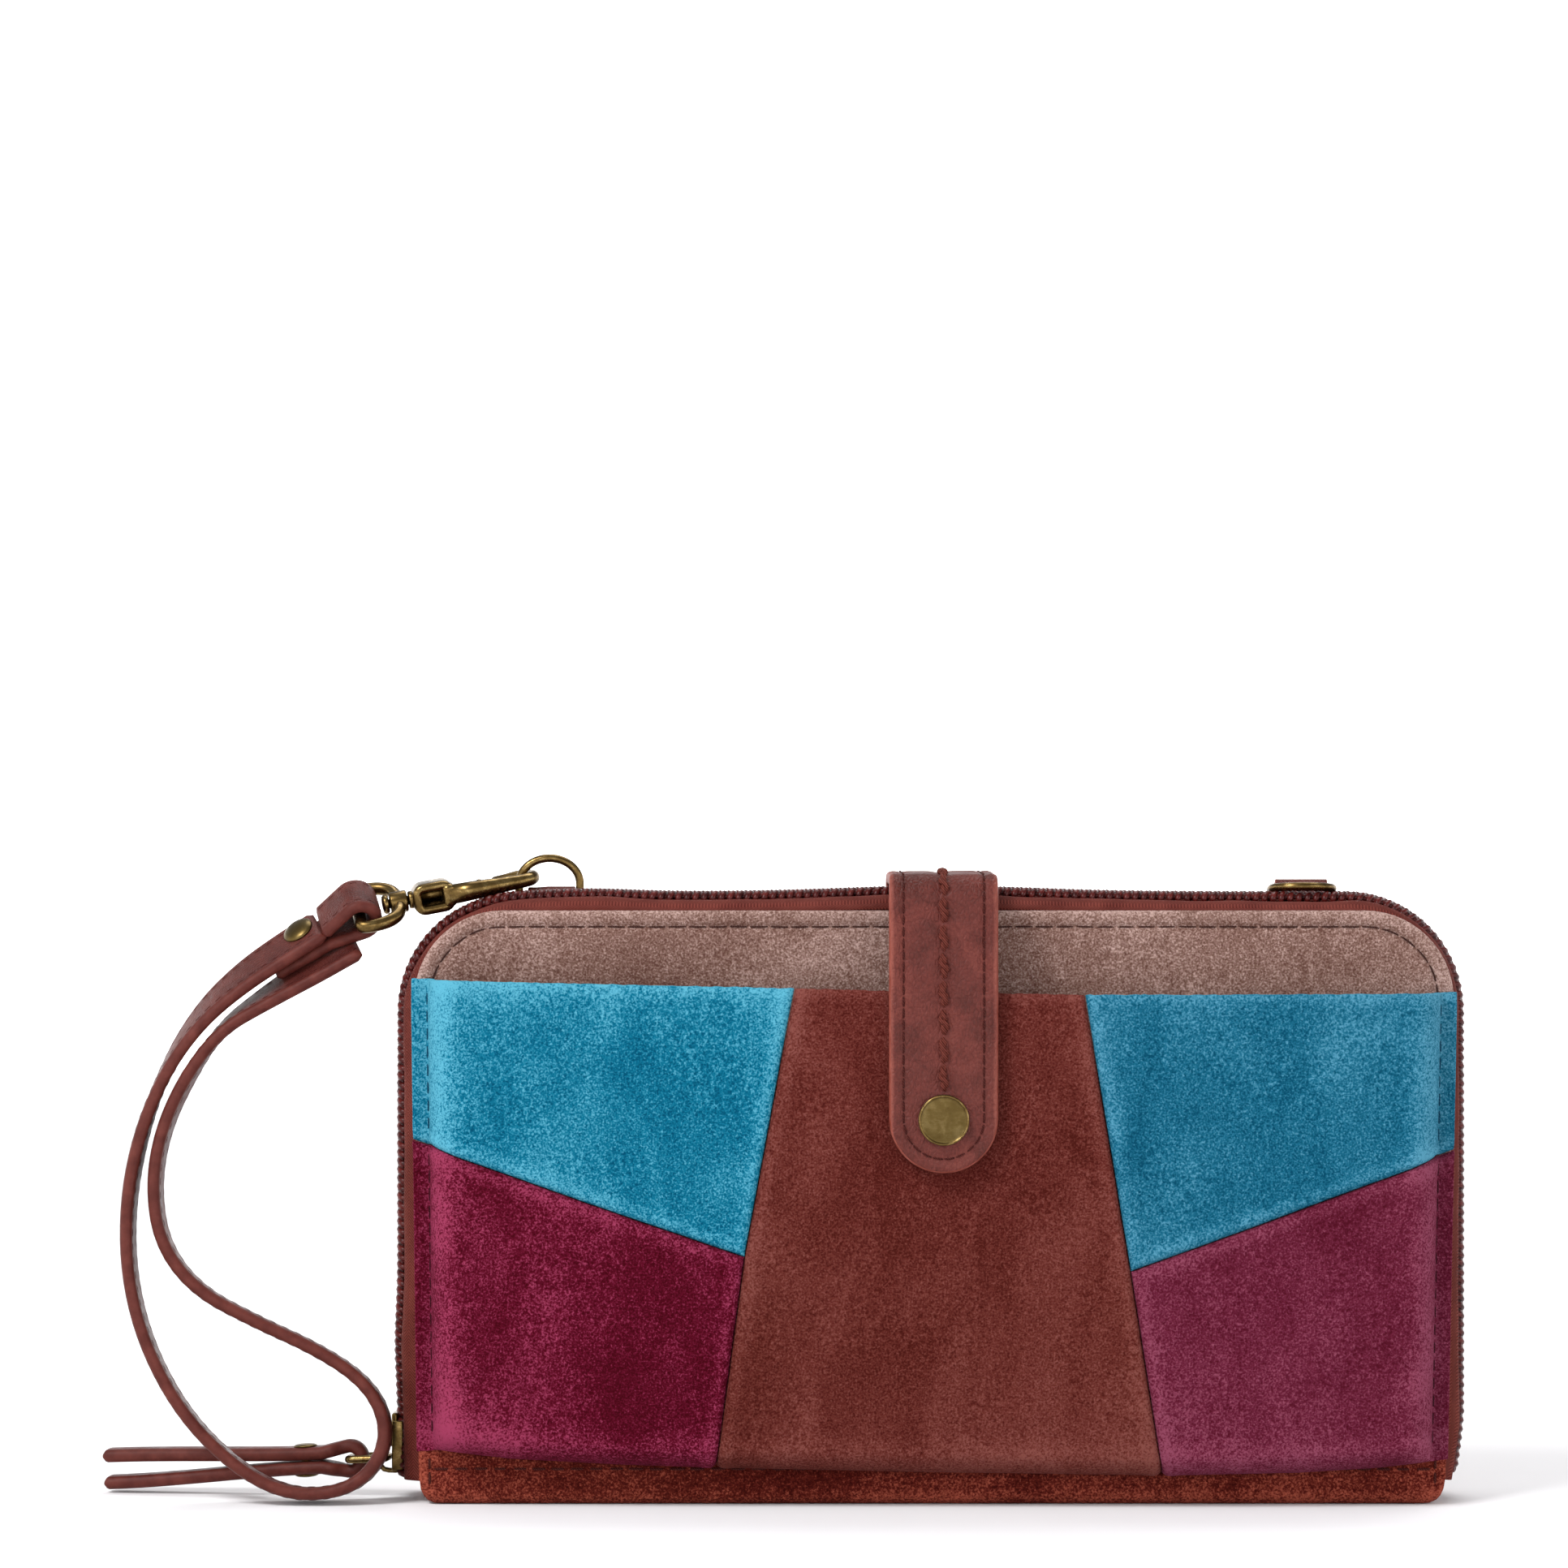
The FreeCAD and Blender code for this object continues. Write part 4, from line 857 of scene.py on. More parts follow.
def spine_wrap():
    """Suede round the wallet's lower edge, from the front cover under it to the back cover."""
    top = FLANGE_HIGH[2]
    front, back = FLANGE_LOW[1], SPINE_HIGH[1]
    thick, curve = 1.0, 2.6
    profile = [(front, z) for z in np.linspace(top, curve, 12)]
    profile += turned((front + curve, curve), curve, 180, 270, 8)[1:]
    profile += [(y, 0.0) for y in np.linspace(front + curve, back - curve, 26)[1:]]
    profile += turned((back - curve, curve), curve, 270, 360, 8)[1:]
    profile += [(back, z) for z in np.linspace(curve, top, 12)[1:]]
    columns = np.sort(np.concatenate([np.linspace(-1, 1, 150), [-0.999, -0.994, 0.994, 0.999]]))
    grid = np.zeros((len(profile), len(columns), 3))
    for i, (y, z) in enumerate(profile):
        for j, u in enumerate(columns):
            x = u * SPINE_HALF
            near_end = max(0.0, SPINE_END - (SPINE_HALF - abs(x)))
            lift = SPINE_END - math.sqrt(max(SPINE_END ** 2 - near_end ** 2, 0)) if near_end else 0.0
            floor = lift * (1 - smooth_step(z / 6.0))
            soft = 0.18 * ripple(x, z + y, 14, 7.0) + 0.12 * ripple(x, z - y, 5, 2.0)
            out = 1 if y > back - 0.1 else -1 if y < front + 0.1 else 0
            grid[i, j] = (x, y + out * soft * smooth_step(z / 3), z + floor + 0.04)
            if out < 0:
                grid[i, j, 1] += 0.35 * gauss(z - SPINE_SEAM, 0.5) - 0.12 * gauss(z - 8.6, 0.9)
    wrap = Shape()
    wear_and_highlight = np.zeros(grid.shape[:2])
    # Lighter along the lower curves of the front and back.
    for i, (y, z) in enumerate(profile):
        wear_and_highlight[i] = 0.45 * gauss(z - 1.2, 1.4) if y < front + 3 or y > back - 3 else 0.1
    x = grid[:, :, 0]
    # Lighter towards both ends, more at the left end: a painted highlight for the light that comes from the
    # left.
    wear_and_highlight += 0.6 * np.exp((np.abs(x) - SPINE_HALF) / 7.0) * np.where(x < 0, 1.5, 0.7)
    slab(wrap, grid, thick, 0.2, wear_and_highlight=wear_and_highlight)
    piece = wrap.piece("spine_wrap", [RUST], "suede_rust", replaces=["spine", "spine_front_flange"],
                       narrowed=True)
    hinge_y, hinge_z = joint("cover_open")["pos_m"][1:]
    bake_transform(piece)
    for name, y, outward, body in (("front", front, -1, "front_cover"), ("back", back, 1, "root")):
        seam = Shape()
        path = np.array([[x, y - outward * 0.2, SPINE_SEAM + 0.15 * ripple(x, 0, 20, 3)]
                         for x in np.linspace(-SPINE_HALF + 1.5, SPINE_HALF - 1.5, 120)])
        stitches(seam, path, (0, outward, 0), 3.9, 0.74, 0.24, 0.1)
        for side in (-1, 1):
            edge = [(side * (SPINE_HALF - 1.9), y + outward * 0.02, z) for z in np.linspace(2.6, 10.6, 12)]
            stitches(seam, edge, (0, outward, 0), 2.9, 0.74, 0.24, 0.1)
        seam.piece(f"spine_stitches_{name}", [THREAD], "suede_rust", body, narrowed=True)


# ---- phone pocket ------------------------------------------------------------------------------
POCKET_FRONT = corner_mm("patch_centre")[0][1]
POCKET_WIDE = HALF + 0.3
HEM_WIDE, HEM_THICK = 3.1, 1.3
POCKET_DEEP = FRONT_FACE - HEM_THICK - POCKET_FRONT
SIDE_CURVE = 5.6                # how far the pocket's sides take to turn into its front
TOE_CURVE = 4.6                 # the same at its lower edge
SKIN = 1.3                      # thickness of a patch
SEAM_LEFT = [(-25.9, 101.0), (-35.8, 48.0), (-41.7, 4.0)]
SEAM_RIGHT = [(28.2, 101.0), (37.4, 45.2), (43.9, 4.0)]
EDGE_LEFT, EDGE_RIGHT = 69.8, 67.8      # where the slanted seams meet the pocket's sides


def pocket_top(x):
    return np.interp(x, [-100, -60, -26, 0, 29, 60, 100], [100.4, 99.5, 98.8, 98.1, 97.6, 97.6, 97.8])


def pocket_low(x):
    return np.interp(x, [-100, -96, -90, -82, -60, -42, 0, 45, 70, 86, 96, 100],
                     [10.4, 10.6, 9.9, 9.0, 7.9, 7.3, 6.4, 5.8, 6.3, 7.2, 8.3, 8.9])


def across_profile():
    """X, share of the pocket's depth, and length along its skin, from the left edge to the right."""
    flat = np.linspace(-POCKET_WIDE, -POCKET_WIDE + HEM_WIDE, 6)
    turn = np.linspace(0, math.pi / 2, 14)[1:]
    x = np.concatenate([flat, -POCKET_WIDE + HEM_WIDE + SIDE_CURVE * (1 - np.cos(turn)),
                        np.linspace(-POCKET_WIDE + HEM_WIDE + SIDE_CURVE, 0, 60)[1:]])
    share = np.concatenate([flat * 0, np.sin(turn), np.ones(59)])
    x, share = np.concatenate([x, -x[-2::-1]]), np.concatenate([share, share[-2::-1]])
    return x, share, run_along(np.stack([x, POCKET_DEEP * share], axis=1))


SKIN_X, SKIN_SHARE, SKIN_RUN = across_profile()


def run_of(x):
    """Length along the skin at X, taking the outermost point where the side stands square."""
    return np.interp(x, SKIN_X + np.arange(len(SKIN_X)) * 1e-9, SKIN_RUN)


def seam_x(seam, z):
    """Where an upright seam is at a height."""
    return np.interp(z, *zip(*sorted((z, x) for x, z in seam)))


def skin_point(run, z, toe):
    """A point of the pocket's outer face; toe is 1 on its front and 0 at its sewn lower edge."""
    x = float(np.interp(run, SKIN_RUN, SKIN_X))
    share = float(np.interp(run, SKIN_RUN, SKIN_SHARE)) * toe
    sag = 0.35 * ripple(x, z, 30, 2.2) + 0.2 * ripple(x * 1.6, z, 12, 5.1) + 0.1 * ripple(x, z, 5, 9.4)
    slump = -0.5 * gauss(abs(x) - 84, 9) * gauss(z - 30, 26)
    tuck = 0.0
    for cx, cz, length, slope, deep in ((95.3, 14.5, 5.0, 1.1, 1.1), (-91.5, 22.0, 9.0, -2.2, 0.45),
                                        (91.0, 27.0, 9.0, 2.6, 0.5)):
        along = ((x - cx) + slope * (z - cz)) / math.hypot(1, slope)
        off = (slope * (x - cx) - (z - cz)) / math.hypot(1, slope)
        tuck -= deep * gauss(along, 0.9) * gauss(off, length)
    puff = 0.35 * math.cos(math.pi * x / 200) * math.sin(math.pi * min(max(z / 100, 0), 1))
    height = POCKET_DEEP * share + (sag + slump + tuck + puff) * min(1.0, share * 1.6)
    return np.array([x, FRONT_FACE - HEM_THICK - height + 0.04 * ripple(x, z, 4, 3.3), z])


def toe_rows(z_high, x, count):
    """Heights and toe shares from z_high down round the pocket's lower edge."""
    low = pocket_low(x)
    straight = z_high - (low + TOE_CURVE)
    total = straight + math.pi / 2 * (TOE_CURVE + POCKET_DEEP) / 2
    rows = []
    for r in bunched(count, 0.45) * total:
        if r <= straight:
            rows.append((z_high - r, 1.0))
        else:
            a = min((r - straight) / (total - straight), 1.0) * math.pi / 2
            rows.append((low + TOE_CURVE * (1 - math.sin(a)), math.cos(a)))
    return rows


def bunched(count, share=0.35):
    """Values from 0 to 1, closer together at both ends."""
    t = np.linspace(0, 1, count)
    return t * (1 - share) + (0.5 - 0.5 * np.cos(math.pi * t)) * share


def patch(name, colour, left, right, high, low, columns, rows, seams, slot_name):
    """One suede patch between two upright lines and two level ones, with its seam edges turned in."""
    grid = np.zeros((rows, columns, 3))
    for j, a in enumerate(bunched(columns, 0.5)):
        z_guess = np.linspace(1, 0, rows) * 60 + 20
        for _ in range(3):
            run_here = [run_of(left(z)) * (1 - a) + run_of(right(z)) * a for z in z_guess]
            x_here = np.interp(run_here, SKIN_RUN, SKIN_X)
            top = high(x_here[0])
            if low is None:
                z_guess, toes = np.array(toe_rows(top, x_here[-1], rows)).T
            else:
                z_guess = top + (low(x_here[-1]) - top) * bunched(rows, 0.5)
                toes = np.ones(rows)
        if high is pocket_top:
            z_guess[0] += 0.16 * ripple(x_here[0], 0, 0.9, 5.5)
        for i in range(rows):
            grid[i, j] = skin_point(run_here[i], z_guess[i], toes[i])
    lengths = {"left": grid_run(grid, 1), "high": grid_run(grid, 0)}
    lengths["right"] = lengths["left"][:, -1:] - lengths["left"]
    lengths["low"] = lengths["high"][-1:] - lengths["high"]
    away = np.min([lengths[side] for side in seams], axis=0)
    dip = 0.14 * gauss(away - 1.9, 1.2) - 0.6 * gauss(away, 0.45)
    grid = grid + facing(grid, FORWARD) * dip[..., None]
    x, z = grid[..., 0], grid[..., 2]
    from_top = pocket_top(x) - z
    # Lighter beside the seams, along the top edge, low on the left side and just above the lower curve;
    # painted highlights on the curves where the sides turn into the front, and on the upper left.
    wear_and_highlight = 0.55 * gauss(away - 1.4, 1.5)
    wear_and_highlight += 0.75 * gauss(np.abs(x) - (POCKET_WIDE - HEM_WIDE - 2.2), 3.2)
    wear_and_highlight += 0.5 * gauss(from_top, 1.6) + 0.5 * gauss(from_top, 7) * gauss(x + 68, 28)
    wear_and_highlight += 0.5 * gauss(z - 14, 12) * gauss(x + 90, 13) + 0.45 * gauss(z - pocket_low(x) - 4.0, 2.6)
    made = Shape()
    slab(made, grid, SKIN, 0.16, wear_and_highlight=wear_and_highlight, towards=FORWARD)
    made.piece(f"pocket_{name}", [colour], slot_name, "front_cover", [f"patch_{name}"], narrowed=True)


def pocket():
    gap = 0.1                   # from a seam's line to each of its patches
    left_edge, right_edge = (lambda z: -POCKET_WIDE), (lambda z: POCKET_WIDE)
    ls, rs = (lambda z: seam_x(SEAM_LEFT, z)), (lambda z: seam_x(SEAM_RIGHT, z))

    def slanted(edge_x, edge_z, seam):
        x1, z1 = seam[1]
        return lambda x: edge_z + (x - edge_x) * (z1 - edge_z) / (x1 - edge_x)

    slant_left = slanted(-POCKET_WIDE, EDGE_LEFT, SEAM_LEFT)
    slant_right = slanted(POCKET_WIDE, EDGE_RIGHT, SEAM_RIGHT)
    wide, tall = (96, 54), (84, 76)
    patch("upper_left", BLUE, left_edge, lambda z: ls(z) - gap, pocket_top,
          lambda x: slant_left(x) + gap, *wide, ("right", "low"), "suede_blue")
    patch("lower_left", WINE, left_edge, lambda z: ls(z) - gap, lambda x: slant_left(x) - gap, None,
          *tall, ("right", "high"), "suede_wine")
    patch("centre", BROWN, lambda z: ls(z) + gap, lambda z: rs(z) - gap, pocket_top, None,
          90, 110, ("left", "right"), "suede_brown")
    patch("upper_right", BLUE_PAINTED_SHADE, lambda z: rs(z) + gap, right_edge, pocket_top,
          lambda x: slant_right(x) + gap, *wide, ("left", "low"), "suede_blue")
    patch("lower_right", PLUM, lambda z: rs(z) + gap, right_edge, lambda x: slant_right(x) - gap, None,
          *tall, ("left", "high"), "suede_plum")
    hem_stitches()


def hem_stitches():
    """Stitching down the pocket's two side hems, in the crease where it swells out."""
    for side, name in ((-1, "left"), (1, "right")):
        x = side * (POCKET_WIDE - HEM_WIDE + 0.15)
        change = EDGE_LEFT if side < 0 else EDGE_RIGHT
        for part, high, low, used, slot_name in (
            ("upper", pocket_top(x) - 1.0, change + 0.5, BLUE_THREAD, "suede_blue"),
            ("lower", change - 0.5, pocket_low(x) + 1.5, WINE_THREAD, "suede_wine"),
        ):
            seam = Shape()
            path = np.array([[x + 0.12 * ripple(x, z, 6, 1), skin_point(run_of(x), z, 1.0)[1] - 0.02, z]
                             for z in np.linspace(high, low, 60)])
            stitches(seam, path, (0, -1, 0), 3.4, 0.8, 0.17, 0.06)
            seam.piece(f"pocket_stitches_{part}_{name}", [used], slot_name, "front_cover", narrowed=True)


# ---- zipper round three sides ----------------------------------------------------------------
TOOTH_PITCH = 1.66
COIL_STEP = TOOTH_PITCH / 2      # the two rows take turns
TAPE_STEP = 1.2


def arch_path(bottom, step):
    """Points up the left side, over the top and down the right, with their outward directions."""
    half, top, corner = TAPE_HIGH[0], TAPE_HIGH[2], TAPE_CORNER
    left = [(-half, bottom)] + turned((corner - half, top - corner), corner, 180, 90, 30)
    points = resample([(x, 0, z) for x, z in left + [(-x, z) for x, z in reversed(left)]], step)
    x, z = points[:, 0].copy(), points[:, 2].copy()
    on_top = smooth_step((z - 80) / 30) * smooth_step((x + 90) / 14)
    points[:, 2] += on_top * (0.45 + 1.1 * gauss(x - 1.6, 26) + 0.55 * gauss(x + 66, 12))
    points[:, 0] -= np.where(x > 0, 2.3 * np.clip(1 - z / 17, 0, 1) ** 1.4, 0.5 * gauss(z - 30, 9))
    ahead = unit(np.gradient(points, axis=0))
    return points, np.stack([-ahead[:, 2], np.zeros(len(points)), ahead[:, 0]], axis=1)


def zip_tape(side, body, part):
    """Herringbone tape that swells out between the cover's edge and the coil."""
    path, out = arch_path(4.3, TAPE_STEP)
    across = np.linspace(0, 1, 15)
    grid = np.zeros((len(path), len(across), 3))
    for i, point in enumerate(path):
        run = i * TAPE_STEP
        depth = 1.7 + 1.9 * max(0.0, 1 - point[2] / DRAWN_TOP)
        swell = 0.6 + 0.4 * ripple(run, side * 4, 24, 3.1) + 0.2 * ripple(run, side * 9, 8, 6.2)
        for j, t in enumerate(across):
            rise = -depth + depth * math.sin(min(t / 0.34, 1) * math.pi / 2)
            grid[i, j] = point + out[i] * (rise + swell * math.sin(math.pi * min(t * 1.08, 1)) ** 0.8)
            grid[i, j, 1] = side * (10.7 - 10.25 * t)
    tape = Shape()
    slab(tape, grid, 1.0, 0.1, towards=UP)
    seam = np.array([p + o * 0.45 + [0, side * 2.7, 0] for p, o in zip(path, out)])
    stitches(tape, seam, out, 3.1, 0.7, 0.2, 0.1, 1)
    tape.piece(f"tape_{part}", [TAPE, THREAD], "zip_tape", body, [f"{part}_zip_tape"])


def zip_coil(side, body, part):
    """One row of the nylon coil: a bent tooth at each turn, over a core."""
    path, out = arch_path(5.2, COIL_STEP)
    ahead = unit(np.gradient(path, axis=0))
    coil = Shape()
    tooth = [(2.7, 0.2), (2.65, 0.9), (2.1, 1.5), (1.15, 1.75), (0.3, 1.65), (-0.1, 1.2), (0.1, 0.75)]
    width = np.array([0.5, 0.58, 0.6, 0.6, 0.58, 0.5, 0.4])
    for i in range(0 if side < 0 else 1, len(path) - 1, 2):
        lean = 0.06 * ripple(i, side, 3, 1.1)
        turn = [path[i] + out[i] * h + np.array([0, side * y, 0]) + ahead[i] * (lean + 0.55 * (1 - y / 1.35))
                for y, h in tooth]
        tube(coil, turn, width, 8, 0, up=ahead[i], flat=1.05)
    core = np.array([p + o * 1.1 + [0, side * 1.5, 0] for p, o in zip(path, out)])
    tube(coil, core, 0.66, 8, 0)
    coil.piece(f"coil_{part}", [COIL], "zip_coil", body, [f"{part}_zip_coil"])


def zip_slider():
    """Rounded plates over and under the coil, joined by a neck, with a bail for the pull."""
    low, high = corner_mm("zip_slider")
    outer_in = -TAPE_HIGH[0] - 1.95
    slider = Shape()
    half, z0, z1 = 2.8, low[2], high[2]

    def waisted(points):
        points = points.copy()
        t = (points[:, 2] - z0) / (z1 - z0)
        points[:, 1] *= 1 - 0.3 * np.clip(1 - t * 2.2, 0, 1) ** 1.5 - 0.12 * np.clip((t - 0.8) * 5, 0, 1) ** 2
        return points

    block(slider, (outer_in - 1.3, -half, z0), (outer_in, half, z1), 0.5, waisted, segments=4)
    block(slider, (high[0] - 1.1, -half, z0), (high[0], half, z1), 0.4, waisted, segments=4)
    block(slider, (outer_in - 0.3, -0.14, z0 + 2.2), (high[0] - 0.8, 0.14, z1 - 1.9), 0.05)
    for side in (-1, 1):
        flange = (outer_in - 1.2, side * 3.1 - 0.3, z0 + 0.6), (outer_in + 0.95, side * 3.1 + 0.3, z1 - 1.4)
        block(slider, *flange, 0.22, waisted)
    top, middle = outer_in - 1.3, joint("pull_lift")["pos_m"][2] / MM
    rise = [(0.5, -2.6), (-0.7, -2.55), (-1.6, -2.35), (-2.2, -1.7), (-2.35, -0.7),
            (-2.35, 0.7), (-2.2, 1.7), (-1.6, 2.35), (-0.7, 2.55), (0.5, 2.6)]
    path = resample([(top + x, 0, middle + z) for x, z in rise], 0.3)
    tube(slider, path, 0.5, 12, up=np.array([0, 1.0, 0]), flat=1.35)
    slider.piece("zip_slider_body", [METAL], "antique_brass", "zip_slider", ["zip_slider"])


# ---- closure tab ------------------------------------------------------------------------------
TAB_TIP = TAB_LOW[2]
TAB_OUT = TAB_THICK / 2
TAB_SEAM = TAB_HALF - 2.4       # of its topstitch, from its middle


def tab_middle_line():
    """The middle of the tab's thickness, from the back cover over the zipper to the tip."""
    back, top, face = BACK_FACE + TAB_OUT, TAB_HIGH[2] - TAB_OUT, TAB_LOW[1] + TAB_OUT
    rear, bend = 2.3, 3.4
    line = [(back, corner_mm("tab_anchor")[0][2])]
    line += turned((back - rear, top - rear), rear, 0, 90, 12)
    line += turned((face + bend, top - bend), bend, 90, 180, 12)
    return resample([(0, y, z) for y, z in line + [(face, TAB_TIP)]], 0.7)


def closure_tab():
    line = tab_middle_line()
    ahead = unit(np.gradient(line, axis=0))
    out = np.stack([np.zeros(len(line)), ahead[:, 2], -ahead[:, 1]], axis=1)
    lengths = run_along(line)
    total = lengths[-1]
    straight = total - TAB_HALF
    first = 0.12                # the columns of points stand closer together near the edges
    across = -np.cos(np.linspace(first, math.pi - first, 31)) / math.cos(first)
    below_cord = total - (SNAP_Z - TAB_TIP) - 5.2

    def place(run, x, lift):
        normal = unit(between(run, lengths, out))
        return between(run, lengths, line) + [TAB_MIDDLE + x, 0, 0] + normal * lift, normal

    rows = int(total / 0.8)
    grid, inner = np.zeros((rows, len(across), 3)), np.zeros((rows, len(across), 3))
    wear_and_highlight = np.zeros((rows, len(across)))
    on_front = (line[:, 1] < 0) & (line[:, 2] > TAB_HIGH[2] - 6)
    front_bend = lengths[on_front][0] + 1.5
    for j, u in enumerate(across):
        end = straight + TAB_HALF * math.sqrt(max(1 - u * u, 0))
        for i in range(rows):
            run = end * i / (rows - 1)
            near_bend = gauss(run - front_bend, 7.0)
            crease = 0.1 * near_bend * math.sin(run * 1.9 + 2.2 * ripple(u * 4, run, 7, 2.2))
            soft = 0.14 * ripple(u * 10, run, 13, 8.0)
            edge = max(0.0, (abs(u) - 0.9) / 0.1)
            from_middle = math.hypot(max(run - straight, 0.0), u * TAB_HALF)
            seam = -0.3 * gauss(from_middle - TAB_SEAM, 0.5)
            pinch = -0.35 * gauss(u * TAB_HALF, 1.3) * (run < below_cord + 0.2)
            grid[i, j] = place(run, u * TAB_HALF, TAB_OUT + crease + soft + seam + pinch - 0.3 * edge ** 2)[0]
            inner[i, j] = place(run, u * TAB_HALF, -TAB_OUT + 0.05)[0]
            # Lighter across the front bend, a painted highlight, and near the edges, where the lighter edge
            # paint comes onto the face.
            wear_and_highlight[i, j] = 1.3 * near_bend + 2.8 * smooth_step((abs(u) - 0.925) / 0.06)
    tab = Shape()
    slab(tab, grid, TAB_THICK, 0.35, kinds=(0, 0, 1), wear_and_highlight=wear_and_highlight, inner=inner)
    side = [(s, -TAB_SEAM) for s in np.linspace(2.0, straight, 200)]
    tip = turned((straight, 0), TAB_SEAM, -90, 90, 60)[1:-1]
    row = [place(run, x, TAB_OUT - 0.12) for run, x in side + tip + [(s, -x) for s, x in reversed(side)]]
    stitches(tab, [p for p, n in row], [n for p, n in row], 2.2, 0.84, 0.2, 0.0, 2)
    thick_cord(tab, [place(s, 0.0, TAB_OUT) for s in np.arange(below_cord, below_cord - 54, -0.3)], 3)
    piece = tab.piece("closure_tab_strip", [LEATHER, EDGE, THREAD, CORD_THREAD], "grain_leather",
                      replaces=["closure_tab", "tab_anchor"])
    pin = np.array(joint("tab_lift")["pos_m"])
    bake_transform(piece)
    cap = Shape()
    profile = [(0, 1.0), (2.2, 0.98), (3.9, 0.92), (4.2, 0.86), (4.35, 0.95), (4.55, 1.1), (4.72, 1.04),
               (4.84, 0.7), (4.85, 0.3), (4.7, 0.0), (4.4, -0.15), (0, -0.15)]
    lathe(cap, profile, (TAB_MIDDLE, CAP_HIGH[1], SNAP_Z), (0, -1, 0), 72)
    rim = [(x, CAP_HIGH[1] - 0.92, z) for x, z in turned((TAB_MIDDLE, SNAP_Z), 4.58, 0, 360, 73)[:-1]]
    tube(cap, rim, 0.25, 10, 1, closed=True)
    cap.piece("snap_cap_disc", [CAP_METAL, METAL], "antique_brass", "closure_tab", ["snap_cap"])


def thick_cord(shape, placed, kind, pitch=5.3, lay=3.1):
    """Two thick threads twisted together, pulled down where they pass through the leather."""
    points, normals = (np.array(rows) for rows in zip(*placed))
    run = run_along(points)
    across = unit(np.cross(np.gradient(points, axis=0), normals))
    pull = np.abs(np.cos(math.pi * run / pitch)) ** 8
    for strand in (0, math.pi):
        turn = TAU * run / lay + strand
        reach = 0.4 * (1 - 0.5 * pull)
        slant = 0.55 * ((run / pitch + 0.5) % 1 - 0.5)
        line = points + across * (np.cos(turn) * reach + slant)[:, None]
        line = line + normals * (np.sin(turn) * reach * 0.8 + 0.16 - 0.95 * pull)[:, None]
        tube(shape, line, 0.45 * (1 - 0.4 * pull), 8, kind)


# ---- ring loops --------------------------------------------------------------------------------
def ring_loop(part):
    node = f"ring_loop_{part}"
    low, high = corner_mm(node)
    middle_y, radius = (low[1] + high[1]) / 2, (high[1] - low[1]) / 2
    bar_z = high[2] - radius
    foot = low[2] - 0.3
    path = [(middle_y - radius - 0.5, foot), (middle_y - radius - 0.1, foot + 0.9)]
    path += turned((middle_y, bar_z), radius, 180, 0, 16)
    path += [(middle_y + radius + 0.1, foot + 0.9), (middle_y + radius + 0.5, foot)]
    line = resample([(0, y, z) for y, z in path], 0.45)
    trim, press = (0.9, 0.16) if part == "left" else (0.0, 0.0)      # leaves room for the hook to swing
    xs = np.linspace(low[0] + trim, high[0], 13)
    ends = [press * min(1.0, max(0.0, (low[0] + 4.5 - x) / 1.8)) for x in xs]
    grid = np.array([[[x, y + 0.06 * ripple(x, z, 3, 2), z - end * (z > bar_z)] for x, end in zip(xs, ends)]
                     for _, y, z in line])
    loop = Shape()
    slab(loop, grid, 1.0, 0.18, kinds=(0, 0, 1), towards=UP)
    for z in (bar_z - 0.1, foot + 1.0):
        for side in (-1, 1):
            y = middle_y + side * (radius + 0.02)
            row = [(x, y, z) for x in np.linspace(xs[0] + 0.8, high[0] - 0.8, 12)]
            stitches(loop, row, (0, side, 0), 2.0, 0.74, 0.2, 0.1, 2)
    loop.piece(f"loop_{part}", [LEATHER, EDGE, THREAD], "grain_leather", "root", [node])


# ---- zipper pull --------------------------------------------------------------------------------
PULL_DROP = math.radians(3.2)
PULL_FOLD, PULL_LONG, PULL_RIVET = 7.2, 55.8, 16.0      # along the pull, from its pivot
PULL_WIDE, PULL_THICK = 6.0, 2.65


def pull_frame():
    pivot = np.array(joint("pull_lift")["pos_m"]) / MM
    y_axis = unit(-np.array(joint("pull_lift")["axis"]))
    level = unit(np.cross([0, 0, 1.0], y_axis)) * -1
    if level[0] > 0:
        level = -level
    x_axis = level * math.cos(PULL_DROP) - np.array([0, 0, math.sin(PULL_DROP)])
    up = np.cross(x_axis, y_axis)
    if up[2] < 0:
        up = -up
    return pivot, np.array([x_axis, y_axis, up])


